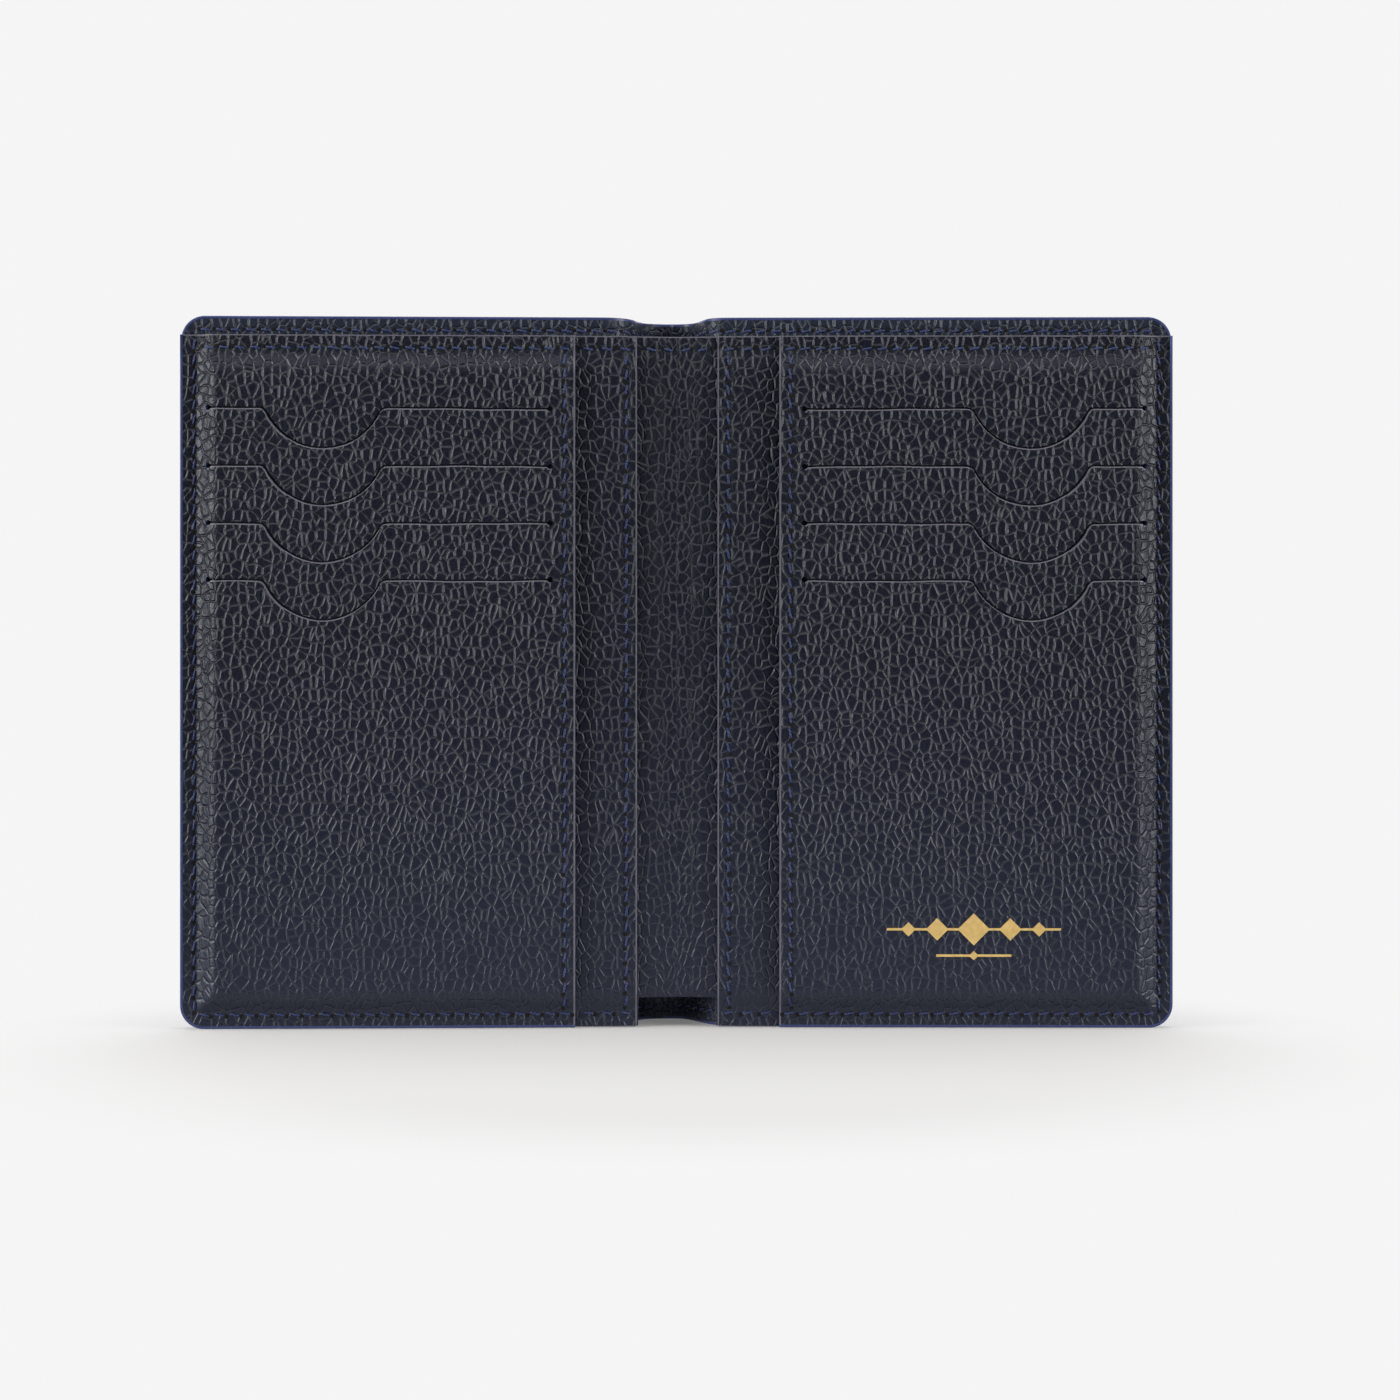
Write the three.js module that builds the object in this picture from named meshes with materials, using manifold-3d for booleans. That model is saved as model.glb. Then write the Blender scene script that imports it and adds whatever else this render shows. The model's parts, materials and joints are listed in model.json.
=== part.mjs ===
// Bifold card holder in grained leather, standing open on its lower edges.
// Two equal halves turn on the folds of a soft spine. Each half is a stack of thin layers, from the
// back: outer cover, stiffener, cover lining, note compartment, inner wall, slip pocket panel and
// card panel, whose cut slots each have a textile pocket behind them.
// Millimetres, +X to the right, +Y to the back of the spine, +Z up.
import * as THREE from "three";
import { mergeVertices } from "three/addons/utils/BufferGeometryUtils.js";
import Module from "manifold-3d";

const wasm = await Module();
wasm.setup();

// Overall sizes
const coverHeight = 120;
const wallHeight = 116.6; // the inner wall and its panels stop short of the cover's top edge
const halfWidth = 77.7; // from the fold to the outer edge
const cornerRadius = 4;
const openAngle = THREE.MathUtils.degToRad(1.5); // each half leans this far from one flat plane
const spineDepth = 11.3; // how far the slack of the cover stands out behind the folds
const wallBow = 0.8; // how far the inner wall's slack between the folds bows back

// Sheet thicknesses
const coverLeather = 0.8;
const stiffenerBoard = 0.4;
const liningLeather = 0.5;
const pocketLeather = 0.55; // inner wall and slip pocket panel
const cardLeather = 0.6;
const textile = 0.15;
const pocketTextile = 0.12;
const thread = 0.2;
const threadWidth = 0.45;
const foil = 0.05;

// Clearances
const glueGap = 0.05; // between layers that are glued or sewn together
const noteGap = 0.4; // the empty note compartment
const slipGap = 0.3; // each empty slip pocket
const threadGap = 0.03; // a thread above its leather
const foldGap = 0.25; // a turning sheet's end to the round fold
const stripGap = 0.4; // the inner wall's strip between the folds to the walls beside it
const facingGap = 0.5; // card panel to the middle plane of the closed holder

// Sewn edges
const seamInset = 2.4; // perimeter seam to the cut edge
const topSeamInset = 2.2; // seam along the top of the inner wall
const panelSeamInset = 1.9; // seam beside a panel's free edge
const seamMargin = 3.2; // the layers are pressed flat this far in from a sewn edge
const rampEnd = 7; // and have their full loft from here

// Panels, measured from the fold
const wallStart = 0.7;
const slipStart = 0.9;
const cardStart = 11.3;
const notchHeight = 5; // the wall's fold stops this far above the lower edge
const stiffenerInset = 3.5;

// Card slots
const slotCount = 4;
const slotLength = 57.2;
const slotInset = 4.3; // card panel's free edge to the first end hole
const topSlotHeight = 104.2;
const slotPitch = 9.6;
const slitWidth = 0.25;
const endHoleRadius = 0.5;
const thumbRadius = 10.5;
const thumbDepth = 6.6;
const thumbFillet = 1.6;
const thumbOffset = 9.4; // from the slot's middle towards the outer edge
const pocketWidth = 54.6; // for a 54 mm wide card that stands on end
const pocketDepth = 70.5; // below the slot, so that the topmost card ends level with the cover
const pocketLap = 4; // glued above the slot

// Foil ornament: a rule with lozenges on it, and a short rule below
const stampWidth = 29.2;
const stampHeight = 5.4;
const stampFromEdge = 33.7; // its middle to the card panel's outer edge
const stampAbove = 16.8; // its middle to the lower edge
const stampRule = 0.4;
const shortRuleWidth = 12.6;
const shortRuleAbove = 12.4;

// Back faces of the layers, measured forward from the cover leather's middle plane.
// Flat values hold over the loft, and pressed values hold in the sewn margins.
const coverBack = -coverLeather / 2;
const coverFront = coverLeather / 2;
const stiffenerBack = coverFront + glueGap;
const liningFlat = stiffenerBack + stiffenerBoard + glueGap;
const liningPressed = coverFront + glueGap;
const wallTextileBack = liningFlat + liningLeather + noteGap;
const wallFlat = wallTextileBack + textile + glueGap;
const wallPressed = liningPressed + liningLeather + glueGap;
const slipTextileBack = wallFlat + pocketLeather + slipGap;
const slipFlat = slipTextileBack + textile + glueGap;
const slipPressed = wallPressed + pocketLeather + glueGap;
const backingBack = slipFlat + pocketLeather + slipGap;
const pocketsBack = backingBack + textile + glueGap;
const cardFlat = pocketsBack + slotCount * (pocketTextile + glueGap);
const cardPressed = slipPressed + pocketLeather + glueGap;
const cardFront = cardFlat + cardLeather;
const foldSpacing = cardFront + facingGap; // a fold's axis to the middle plane

const leatherMaterial = new THREE.MeshStandardMaterial({ color: 0x272c38, roughness: 0.5, metalness: 0 });
const textileMaterial = new THREE.MeshStandardMaterial({ color: 0x1a2338, roughness: 0.9, metalness: 0 });
const boardMaterial = new THREE.MeshStandardMaterial({ color: 0x5a4a3a, roughness: 0.9, metalness: 0 });
const threadMaterial = new THREE.MeshStandardMaterial({ color: 0x2a3a6a, roughness: 0.7, metalness: 0 });
const foilMaterial = new THREE.MeshStandardMaterial({ color: 0xd9b36a, roughness: 0.35, metalness: 1 });

// A closed geometry as a manifold-3d solid.
function solid(geometry) {
  const bare = geometry.index ? geometry.toNonIndexed() : geometry.clone();
  bare.deleteAttribute("normal");
  bare.deleteAttribute("uv");
  const merged = mergeVertices(bare, 1e-4);
  return new wasm.Manifold(
    new wasm.Mesh({
      numProp: 3,
      vertProperties: merged.getAttribute("position").array,
      triVerts: new Uint32Array(merged.index.array),
    }),
  );
}

function geometryOf(manifold) {
  const mesh = manifold.getMesh();
  const geometry = new THREE.BufferGeometry();
  geometry.setAttribute("position", new THREE.BufferAttribute(mesh.vertProperties, 3));
  geometry.setIndex(new THREE.BufferAttribute(mesh.triVerts, 1));
  return geometry;
}

function named(name, geometry, material) {
  const mesh = new THREE.Mesh(geometry, material);
  mesh.name = name;
  return mesh;
}

// An outline drawn in u (from the fold) and z (up), as a plate from one depth to another. Depth v is
// measured forward, towards -Y.
function plate(shape, back, front, curveSegments = 5) {
  const geometry = new THREE.ExtrudeGeometry(shape, {
    depth: front - back,
    bevelEnabled: false,
    curveSegments,
  });
  geometry.rotateX(Math.PI / 2);
  geometry.translate(0, -back, 0);
  return geometry;
}

function rectangle(u0, z0, u1, z1) {
  const shape = new THREE.Shape();
  shape.moveTo(u0, z0);
  shape.lineTo(u1, z0);
  shape.lineTo(u1, z1);
  shape.lineTo(u0, z1);
  return shape;
}

// The cut outline of a half, from u0 to the outer edge. Its outer corners are those of the cover, so
// a sheet that stops short of the cover's top only meets the start of the upper one.
function coverOutline(u0) {
  const shape = new THREE.Shape();
  shape.moveTo(u0, 0);
  shape.lineTo(halfWidth - cornerRadius, 0);
  shape.absarc(halfWidth - cornerRadius, cornerRadius, cornerRadius, -Math.PI / 2, 0);
  shape.lineTo(halfWidth, coverHeight - cornerRadius);
  shape.absarc(halfWidth - cornerRadius, coverHeight - cornerRadius, cornerRadius, 0, Math.PI / 2);
  shape.lineTo(u0, coverHeight);
  return shape;
}

// How far a point has risen out of the sewn margin: 0 in the margin and 1 on the full loft.
function loft(distance) {
  return THREE.MathUtils.clamp((distance - seamMargin) / (rampEnd - seamMargin), 0, 1);
}

const sideLoft = (u) => loft(halfWidth - u);
const edgeLoft = (u, z) => Math.min(sideLoft(u), loft(z));
const liningLoft = (u, z) => Math.min(edgeLoft(u, z), loft(coverHeight - z));
const panelLoft = (u, z) => Math.min(edgeLoft(u, z), loft(wallHeight - z));

// Back faces of the lofted leathers at a point of a half.
const liningBack = (u, z) => THREE.MathUtils.lerp(liningPressed, liningFlat, liningLoft(u, z));
const wallBack = (u, z) => THREE.MathUtils.lerp(wallPressed, wallFlat, edgeLoft(u, z));

function slipBack(u, z) {
  const onWall = wallBack(u, z) + slipPressed - wallPressed;
  const loose = wallBack(u, z) + slipFlat - wallFlat;
  return THREE.MathUtils.lerp(onWall, loose, panelLoft(u, z));
}

function cardBack(u, z) {
  const onSlip = slipBack(u, z) + cardPressed - slipPressed;
  const loose = slipBack(u, z) + cardFlat - slipFlat;
  return THREE.MathUtils.lerp(onSlip, loose, panelLoft(u, z));
}

// A sheet of even thickness whose back face follows backAt, made on a coarse grid whose lines lie
// where the loft changes, and cut to the half's outline.
function loftedSheet(u0, height, backAt, thickness) {
  const uStops = [u0, halfWidth - rampEnd, halfWidth - seamMargin, halfWidth + 1];
  const zStops = [-1, seamMargin, rampEnd, height - rampEnd, height - seamMargin, height];
  const columns = uStops.length;
  const rows = zStops.length;
  const positions = [];
  for (const depth of [0, thickness]) {
    for (const z of zStops) {
      for (const u of uStops) {
        positions.push(u, -(backAt(u, z) + depth), z);
      }
    }
  }
  const index = [];
  const quad = (a, b, c, d) => index.push(a, b, c, a, c, d);
  const at = (layer, row, column) => (layer * rows + row) * columns + column;
  for (let row = 0; row < rows - 1; row++) {
    for (let column = 0; column < columns - 1; column++) {
      const corners = [
        [row, column],
        [row + 1, column],
        [row + 1, column + 1],
        [row, column + 1],
      ];
      const [a, b, c, d] = corners;
      quad(at(0, ...a), at(0, ...b), at(0, ...c), at(0, ...d));
      quad(at(1, ...a), at(1, ...d), at(1, ...c), at(1, ...b));
    }
  }
  const wall = (r0, c0, r1, c1) => quad(at(0, r0, c0), at(0, r1, c1), at(1, r1, c1), at(1, r0, c0));
  for (let column = 0; column < columns - 1; column++) {
    wall(0, column, 0, column + 1);
    wall(rows - 1, column + 1, rows - 1, column);
  }
  for (let row = 0; row < rows - 1; row++) {
    wall(row, columns - 1, row + 1, columns - 1);
    wall(row + 1, 0, row, 0);
  }
  const sheet = new THREE.BufferGeometry();
  sheet.setAttribute("position", new THREE.Float32BufferAttribute(positions, 3));
  sheet.setIndex(index);
  return solid(sheet).intersect(solid(plate(coverOutline(u0 - 1), coverBack, cardFront + 1)));
}

// A closed outline of even width around a line of points.
function ribbon(points, width) {
  const offset = (side) =>
    points.map((point, i) => {
      const before = points[Math.max(i - 1, 0)];
      const after = points[Math.min(i + 1, points.length - 1)];
      const along = after.clone().sub(before).normalize();
      return new THREE.Vector2(-along.y, along.x).multiplyScalar((side * width) / 2).add(point);
    });
  return new THREE.Shape([...offset(-1), ...offset(1).reverse()]);
}

// The line of a card slot: straight, with a round dip for the thumb whose shoulders are filleted.
function slotLine(u0, z) {
  const middle = u0 + slotLength / 2 + thumbOffset;
  const arcCentreUp = thumbRadius - thumbDepth;
  const filletUp = thumbRadius + thumbFillet;
  const filletAcross = Math.sqrt(filletUp ** 2 - (arcCentreUp + thumbFillet) ** 2);
  const turn = Math.atan2(filletAcross, arcCentreUp + thumbFillet);
  const line = [new THREE.Vector2(u0, z)];
  const arc = (cu, cz, radius, from, to, steps, first = 1) => {
    for (let i = first; i <= steps; i++) {
      const angle = from + ((to - from) * i) / steps;
      line.push(new THREE.Vector2(cu + radius * Math.sin(angle), cz - radius * Math.cos(angle)));
    }
  };
  arc(middle - filletAcross, z - thumbFillet, thumbFillet, Math.PI, Math.PI - turn, 3, 0);
  arc(middle, z + arcCentreUp, thumbRadius, -turn, turn, 10);
  arc(middle + filletAcross, z - thumbFillet, thumbFillet, Math.PI + turn, Math.PI, 3);
  line.push(new THREE.Vector2(u0 + slotLength, z));
  return line;
}

function circle(u, z, radius) {
  const shape = new THREE.Shape();
  shape.absarc(u, z, radius, 0, 2 * Math.PI);
  return shape;
}

const slotStart = cardStart + slotInset;
const slotHeights = Array.from({ length: slotCount }, (_, i) => topSlotHeight - i * slotPitch);

function cardPanel() {
  let panel = loftedSheet(cardStart, wallHeight, cardBack, cardLeather);
  const cut = (shape) => {
    panel = panel.subtract(solid(plate(shape, coverBack, cardFront + 1, 4)));
  };
  for (const z of slotHeights) {
    cut(ribbon(slotLine(slotStart, z), slitWidth));
    cut(circle(slotStart, z, endHoleRadius));
    cut(circle(slotStart + slotLength, z, endHoleRadius));
  }
  return panel;
}

// A run of thread along points [u, z, v] on the leather, v being the surface it lies on. When
// inward is -1 the thread lies on the back of the leather.
function threadRun(points, outward = 1) {
  const path = points.map(([u, z, v]) => new THREE.Vector3(u, -(v + outward * threadGap), z));
  const positions = [];
  path.forEach((point, i) => {
    const into = point.clone().sub(path[Math.max(i - 1, 0)]).setY(0);
    const out = path[Math.min(i + 1, path.length - 1)].clone().sub(point).setY(0);
    const before = (i ? into : out).normalize();
    const after = (i < path.length - 1 ? out : into).normalize();
    const side = new THREE.Vector3(before.z + after.z, 0, -before.x - after.x).normalize();
    const mitre = 1 / Math.max(0.5, side.dot(new THREE.Vector3(before.z, 0, -before.x)));
    side.multiplyScalar((mitre * threadWidth) / 2);
    const rise = new THREE.Vector3(0, -outward * thread, 0);
    for (const corner of [[-1, 0], [1, 0], [1, 1], [-1, 1]]) {
      const place = point.clone().addScaledVector(side, corner[0]).addScaledVector(rise, corner[1]);
      positions.push(place.x, place.y, place.z);
    }
  });
  const index = [];
  const quad = (a, b, c, d) => index.push(a, b, c, a, c, d);
  quad(0, 1, 2, 3);
  for (let i = 0; i < path.length - 1; i++) {
    for (let k = 0; k < 4; k++) {
      const a = 4 * i + k;
      const b = 4 * i + ((k + 1) % 4);
      quad(a, a + 4, b + 4, b);
    }
  }
  const end = 4 * (path.length - 1);
  quad(end + 3, end + 2, end + 1, end);
  if (outward < 0) {
    index.reverse();
  }
  const geometry = new THREE.BufferGeometry();
  geometry.setAttribute("position", new THREE.Float32BufferAttribute(positions, 3));
  geometry.setIndex(index);
  return geometry;
}

// Surfaces that the seams lie on.
const liningFront = (u, z) => liningBack(u, z) + liningLeather;
const wallFront = (u, z) => wallBack(u, z) + pocketLeather;
const slipFront = (u, z) => slipBack(u, z) + pocketLeather;
const cardFrontAt = (u, z) => cardBack(u, z) + cardLeather;

const seamSide = halfWidth - seamInset;
const seamTop = coverHeight - seamInset;
const topSeamHeight = wallHeight - topSeamInset;
const seamStep = 0.5; // length of the slope where a thread steps off a panel's edge

// Points around a corner of the perimeter seam, which turns inside the cut edge's round corner.
function cornerPoints(z, from, to, surface) {
  const radius = Math.max(cornerRadius - seamInset, threadWidth);
  const points = [];
  for (let i = 0; i <= 3; i++) {
    const angle = from + ((to - from) * i) / 3;
    const u = seamSide - radius + radius * Math.cos(angle);
    const up = z + radius * Math.sin(angle);
    points.push([u, up, surface(u, up)]);
  }
  return points;
}

function perimeterFront() {
  const radius = Math.max(cornerRadius - seamInset, threadWidth);
  const onLining = coverFront + glueGap + liningLeather;
  const onCard = cardPressed + cardLeather;
  const onSlip = slipPressed + pocketLeather;
  return threadRun([
    [slipStart, seamTop, onLining],
    ...cornerPoints(seamTop - radius, Math.PI / 2, Math.PI / 4, () => onLining),
    [seamSide, wallHeight + 2 * seamStep, onLining],
    [seamSide, wallHeight + seamStep, onCard],
    ...cornerPoints(seamInset + radius, 0, -Math.PI / 2, () => onCard),
    [cardStart + threadWidth, seamInset, onCard],
    [cardStart - seamStep, seamInset, onCard],
    [cardStart - 2 * seamStep, seamInset, onSlip],
    [slipStart + threadWidth, seamInset, onSlip],
  ]);
}

function perimeterBack() {
  const radius = Math.max(cornerRadius - seamInset, threadWidth);
  const surface = () => coverBack;
  return threadRun(
    [
      [slipStart, seamTop, coverBack],
      ...cornerPoints(seamTop - radius, Math.PI / 2, 0, surface),
      ...cornerPoints(seamInset + radius, 0, -Math.PI / 2, surface),
      [slipStart, seamInset, coverBack],
    ],
    -1,
  );
}

function topThread() {
  const z = topSeamHeight;
  const end = seamSide - threadWidth;
  const onSlip = slipFront(slipStart + seamMargin, z);
  return threadRun([
    [slipStart + threadWidth, z, onSlip],
    [cardStart - 2 * seamStep, z, onSlip],
    [cardStart - seamStep, z, cardFrontAt(cardStart, z)],
    [halfWidth - rampEnd, z, cardFrontAt(cardStart, z)],
    [halfWidth - seamMargin, z, cardFrontAt(halfWidth, z)],
    [end, z, cardFrontAt(halfWidth, z)],
  ]);
}

// The seam beside a panel's free edge, between the lower and the top seam.
function edgeThread(start, surface) {
  const u = start + panelSeamInset;
  const heights = [
    seamInset + threadWidth,
    seamMargin,
    rampEnd,
    wallHeight - rampEnd,
    wallHeight - seamMargin,
    topSeamHeight - threadWidth,
  ];
  return threadRun(heights.map((z) => [u, z, surface(u, z)]));
}

function lozenge(u, z, width, height) {
  return new THREE.Shape([
    new THREE.Vector2(u - width / 2, z),
    new THREE.Vector2(u, z - height / 2),
    new THREE.Vector2(u + width / 2, z),
    new THREE.Vector2(u, z + height / 2),
  ]);
}

// Foil shapes that touch, as one thin plate on the card panel's loft.
function foilPlate(shapes) {
  const back = cardFront + threadGap;
  const pieces = shapes.map((shape) => solid(plate(shape, back, back + foil)));
  return geometryOf(pieces.reduce((joined, piece) => joined.add(piece)));
}

// A rule with a large lozenge at its middle and smaller ones towards its ends.
function foilOrnament() {
  const u = halfWidth - stampFromEdge;
  const z = stampAbove;
  const end = stampWidth / 2;
  const shapes = [rectangle(u - end, z - stampRule / 2, u + end, z + stampRule / 2)];
  for (const [share, size] of [[-0.75, 0.45], [-0.42, 0.7], [0, 1], [0.42, 0.7], [0.75, 0.45]]) {
    shapes.push(lozenge(u + share * end, z, size * stampHeight, size * stampHeight));
  }
  return foilPlate(shapes);
}

function foilShortRule() {
  const u = halfWidth - stampFromEdge;
  const z = shortRuleAbove;
  const end = shortRuleWidth / 2;
  return foilPlate([
    rectangle(u - end, z - stampRule / 2, u + end, z + stampRule / 2),
    lozenge(u, z, 4 * stampRule, 4 * stampRule),
  ]);
}

function half(side) {
  const group = new THREE.Group();
  const add = (name, geometry, material) => group.add(named(`${name}_${side}`, geometry, material));
  const flatEnd = halfWidth - rampEnd - glueGap;
  const flatTop = wallHeight - rampEnd - glueGap;
  const flatBottom = rampEnd + glueGap;

  const coverStart = coverLeather / 2 + foldGap;
  add("outer_cover", plate(coverOutline(coverStart), coverBack, coverFront), leatherMaterial);

  const boardTop = coverHeight - rampEnd - glueGap;
  const board = rectangle(stiffenerInset, flatBottom, flatEnd, boardTop);
  add("cover_stiffener", plate(board, stiffenerBack, stiffenerBack + stiffenerBoard), boardMaterial);

  const lining = loftedSheet(wallStart, coverHeight, liningBack, liningLeather);
  add("cover_lining", geometryOf(lining), leatherMaterial);

  const wall = loftedSheet(wallStart, wallHeight, wallBack, pocketLeather);
  add("inner_wall", geometryOf(wall), leatherMaterial);
  const wallTextile = rectangle(wallStart, flatBottom, flatEnd, wallHeight - seamMargin);
  add("inner_wall_lining", plate(wallTextile, wallTextileBack, wallTextileBack + textile), textileMaterial);

  const slip = loftedSheet(slipStart, wallHeight, slipBack, pocketLeather);
  add("slip_pocket_panel", geometryOf(slip), leatherMaterial);
  const slipTextile = rectangle(slipStart + glueGap, flatBottom, flatEnd, flatTop);
  add("slip_pocket_lining", plate(slipTextile, slipTextileBack, slipTextileBack + textile), textileMaterial);

  add("card_panel", geometryOf(cardPanel()), leatherMaterial);
  const backing = rectangle(cardStart + glueGap, flatBottom, flatEnd, flatTop);
  add("card_panel_backing", plate(backing, backingBack, backingBack + textile), textileMaterial);

  // The lowest slot's pocket lies nearest the card panel, and the top slot's nearest the backing.
  slotHeights.forEach((z, i) => {
    const bottom = Math.max(z - pocketDepth, flatBottom);
    const pocket = rectangle(flatEnd - pocketWidth, bottom, flatEnd, z + pocketLap);
    const back = pocketsBack + i * (pocketTextile + glueGap);
    const mesh = named(
      `card_pocket_${side}_${i + 1}`,
      plate(pocket, back, back + pocketTextile),
      textileMaterial,
    );
    group.add(mesh);
  });

  add("perimeter_thread_front", perimeterFront(), threadMaterial);
  add("perimeter_thread_back", perimeterBack(), threadMaterial);
  add("top_thread", topThread(), threadMaterial);
  add("slip_edge_thread", edgeThread(slipStart, slipFront), threadMaterial);
  add("card_edge_thread", edgeThread(cardStart, cardFrontAt), threadMaterial);
  return group;
}

// The cover's slack between the folds, seen from above: it stands back from each fold and turns in
// a round trough that leans to the left.
function spineLine(steps = 30) {
  const across = foldSpacing;
  const back = spineDepth;
  const curve = new THREE.SplineCurve([
    new THREE.Vector2(-across, 0),
    new THREE.Vector2(-1.13 * across, 0.3 * back),
    new THREE.Vector2(-1.14 * across, 0.6 * back),
    new THREE.Vector2(-0.9 * across, 0.86 * back),
    new THREE.Vector2(-0.4 * across, 0.99 * back),
    new THREE.Vector2(0.1 * across, back),
    new THREE.Vector2(0.5 * across, 0.9 * back),
    new THREE.Vector2(0.74 * across, 0.66 * back),
    new THREE.Vector2(0.9 * across, 0.3 * back),
    new THREE.Vector2(across, 0),
  ]);
  return curve.getSpacedPoints(steps);
}

// The slack of the inner wall between the folds, bowed back a little.
function wallLine(steps = 8) {
  const end = foldSpacing + wallStart - stripGap;
  const depth = wallFlat + pocketLeather / 2;
  return Array.from({ length: steps + 1 }, (_, i) => {
    const share = (2 * i) / steps - 1;
    return new THREE.Vector2(end * share, wallBow * (1 - share ** 2) - depth);
  });
}

// A band beside a line, between two distances to its left, standing from z0 to z1. Its ends are
// round where roundEnds is set, so that the folds can turn on them.
function band(line, near, far, z0, z1, roundEnds = false) {
  const offset = (distance) =>
    line.map((point, i) => {
      const before = line[Math.max(i - 1, 0)];
      const after = line[Math.min(i + 1, line.length - 1)];
      const along = after.clone().sub(before).normalize();
      return new THREE.Vector2(-along.y, along.x).multiplyScalar(distance).add(point);
    });
  const cap = (end, next) => {
    const along = end.clone().sub(next).normalize();
    const radius = (far - near) / 2;
    return [1, 2, 3, 4].map((k) => {
      const angle = (Math.PI * k) / 5;
      const across = new THREE.Vector2(along.y, -along.x).multiplyScalar(-radius * Math.cos(angle));
      return across.addScaledVector(along, radius * Math.sin(angle)).add(end);
    });
  };
  const right = offset(near);
  const left = offset(far).reverse();
  const outline = [...right, ...left];
  if (roundEnds) {
    const last = line.length - 1;
    outline.splice(right.length, 0, ...cap(line[last], line[last - 1]).reverse());
    outline.push(...cap(line[0], line[1]).reverse());
  }
  const shape = new THREE.Shape(outline);
  const geometry = new THREE.ExtrudeGeometry(shape, { depth: z1 - z0, bevelEnabled: false });
  geometry.translate(0, 0, z0);
  return geometry;
}

// The line without its first and last points, for a sheet that stops short of the folds.
const inside = (line, count) => line.slice(count, line.length - count);

function spine() {
  const group = new THREE.Group();
  const cover = spineLine();
  const halfCover = coverLeather / 2;
  const add = (name, geometry, material) => group.add(named(name, geometry, material));

  // The line runs from left to right round the back, so its right-hand side faces the compartment.
  const coverBand = band(cover, -halfCover, halfCover, 0, coverHeight, true);
  add("outer_cover_spine", coverBand, leatherMaterial);
  const liningNear = -(halfCover + glueGap + liningLeather);
  const liningFar = -(halfCover + glueGap);
  const lining = band(inside(cover, 1), liningNear, liningFar, 0, coverHeight);
  add("cover_lining_spine", lining, leatherMaterial);

  const wall = wallLine();
  const halfWall = pocketLeather / 2;
  const fold = band(wall, -halfWall, halfWall, notchHeight, wallHeight);
  add("inner_wall_fold", fold, leatherMaterial);
  const textileBand = band(
    inside(wall, 1),
    halfWall + glueGap,
    halfWall + glueGap + textile,
    notchHeight + seamMargin,
    wallHeight - seamMargin,
  );
  add("inner_wall_fold_lining", textileBand, textileMaterial);
  const topRun = band(
    inside(wall, 1),
    -(halfWall + threadGap + thread),
    -(halfWall + threadGap),
    topSeamHeight - threadWidth / 2,
    topSeamHeight + threadWidth / 2,
  );
  add("top_thread_fold", topRun, threadMaterial);

  const heights = { top: seamTop, bottom: seamInset };
  for (const [edge, z] of Object.entries(heights)) {
    const run = (near) =>
      band(inside(cover, 2), near, near + thread, z - threadWidth / 2, z + threadWidth / 2);
    add(`spine_${edge}_thread_front`, run(liningNear - threadGap - thread), threadMaterial);
    add(`spine_${edge}_thread_back`, run(halfCover + threadGap), threadMaterial);
  }
  return group;
}

const holder = new THREE.Group();

const left = half("left");
left.position.x = -foldSpacing;
left.rotation.z = openAngle;
left.scale.x = -1;
holder.add(left);

const right = half("right");
right.position.x = foldSpacing;
right.rotation.z = -openAngle;
right.add(named("foil_ornament_right", foilOrnament(), foilMaterial));
right.add(named("foil_short_rule_right", foilShortRule(), foilMaterial));
holder.add(right);

holder.add(spine());

// The origin is at the middle of the box that the open holder fills, on the surface it stands on.
const box = new THREE.Box3().setFromObject(holder, true);
holder.position.y = -(box.min.y + box.max.y) / 2;

export default holder;
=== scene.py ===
import json
import math

import bpy
import numpy as np
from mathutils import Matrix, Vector


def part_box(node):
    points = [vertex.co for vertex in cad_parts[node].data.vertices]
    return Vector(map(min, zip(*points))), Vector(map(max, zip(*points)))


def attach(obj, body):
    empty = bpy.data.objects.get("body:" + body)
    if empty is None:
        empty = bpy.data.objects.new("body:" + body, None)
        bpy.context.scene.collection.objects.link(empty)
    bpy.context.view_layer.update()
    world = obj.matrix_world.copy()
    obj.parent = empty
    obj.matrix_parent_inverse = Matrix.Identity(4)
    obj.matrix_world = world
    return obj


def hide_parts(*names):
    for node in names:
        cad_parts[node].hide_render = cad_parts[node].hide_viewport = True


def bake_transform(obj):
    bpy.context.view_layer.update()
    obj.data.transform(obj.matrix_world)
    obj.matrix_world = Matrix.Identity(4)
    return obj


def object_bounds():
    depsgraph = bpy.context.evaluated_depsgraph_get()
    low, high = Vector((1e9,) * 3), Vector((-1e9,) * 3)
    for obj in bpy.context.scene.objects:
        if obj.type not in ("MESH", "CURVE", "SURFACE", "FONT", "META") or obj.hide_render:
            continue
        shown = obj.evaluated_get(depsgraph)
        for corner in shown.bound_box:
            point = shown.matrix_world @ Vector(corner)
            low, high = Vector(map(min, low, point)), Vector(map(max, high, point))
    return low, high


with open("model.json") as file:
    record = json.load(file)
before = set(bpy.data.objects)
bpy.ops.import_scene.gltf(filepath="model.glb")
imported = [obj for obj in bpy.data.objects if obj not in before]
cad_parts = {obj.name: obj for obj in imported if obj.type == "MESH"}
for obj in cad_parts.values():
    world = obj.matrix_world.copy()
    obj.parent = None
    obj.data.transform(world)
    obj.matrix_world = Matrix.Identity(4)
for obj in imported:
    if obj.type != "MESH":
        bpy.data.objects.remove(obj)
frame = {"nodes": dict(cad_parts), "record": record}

cad_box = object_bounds()

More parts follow.
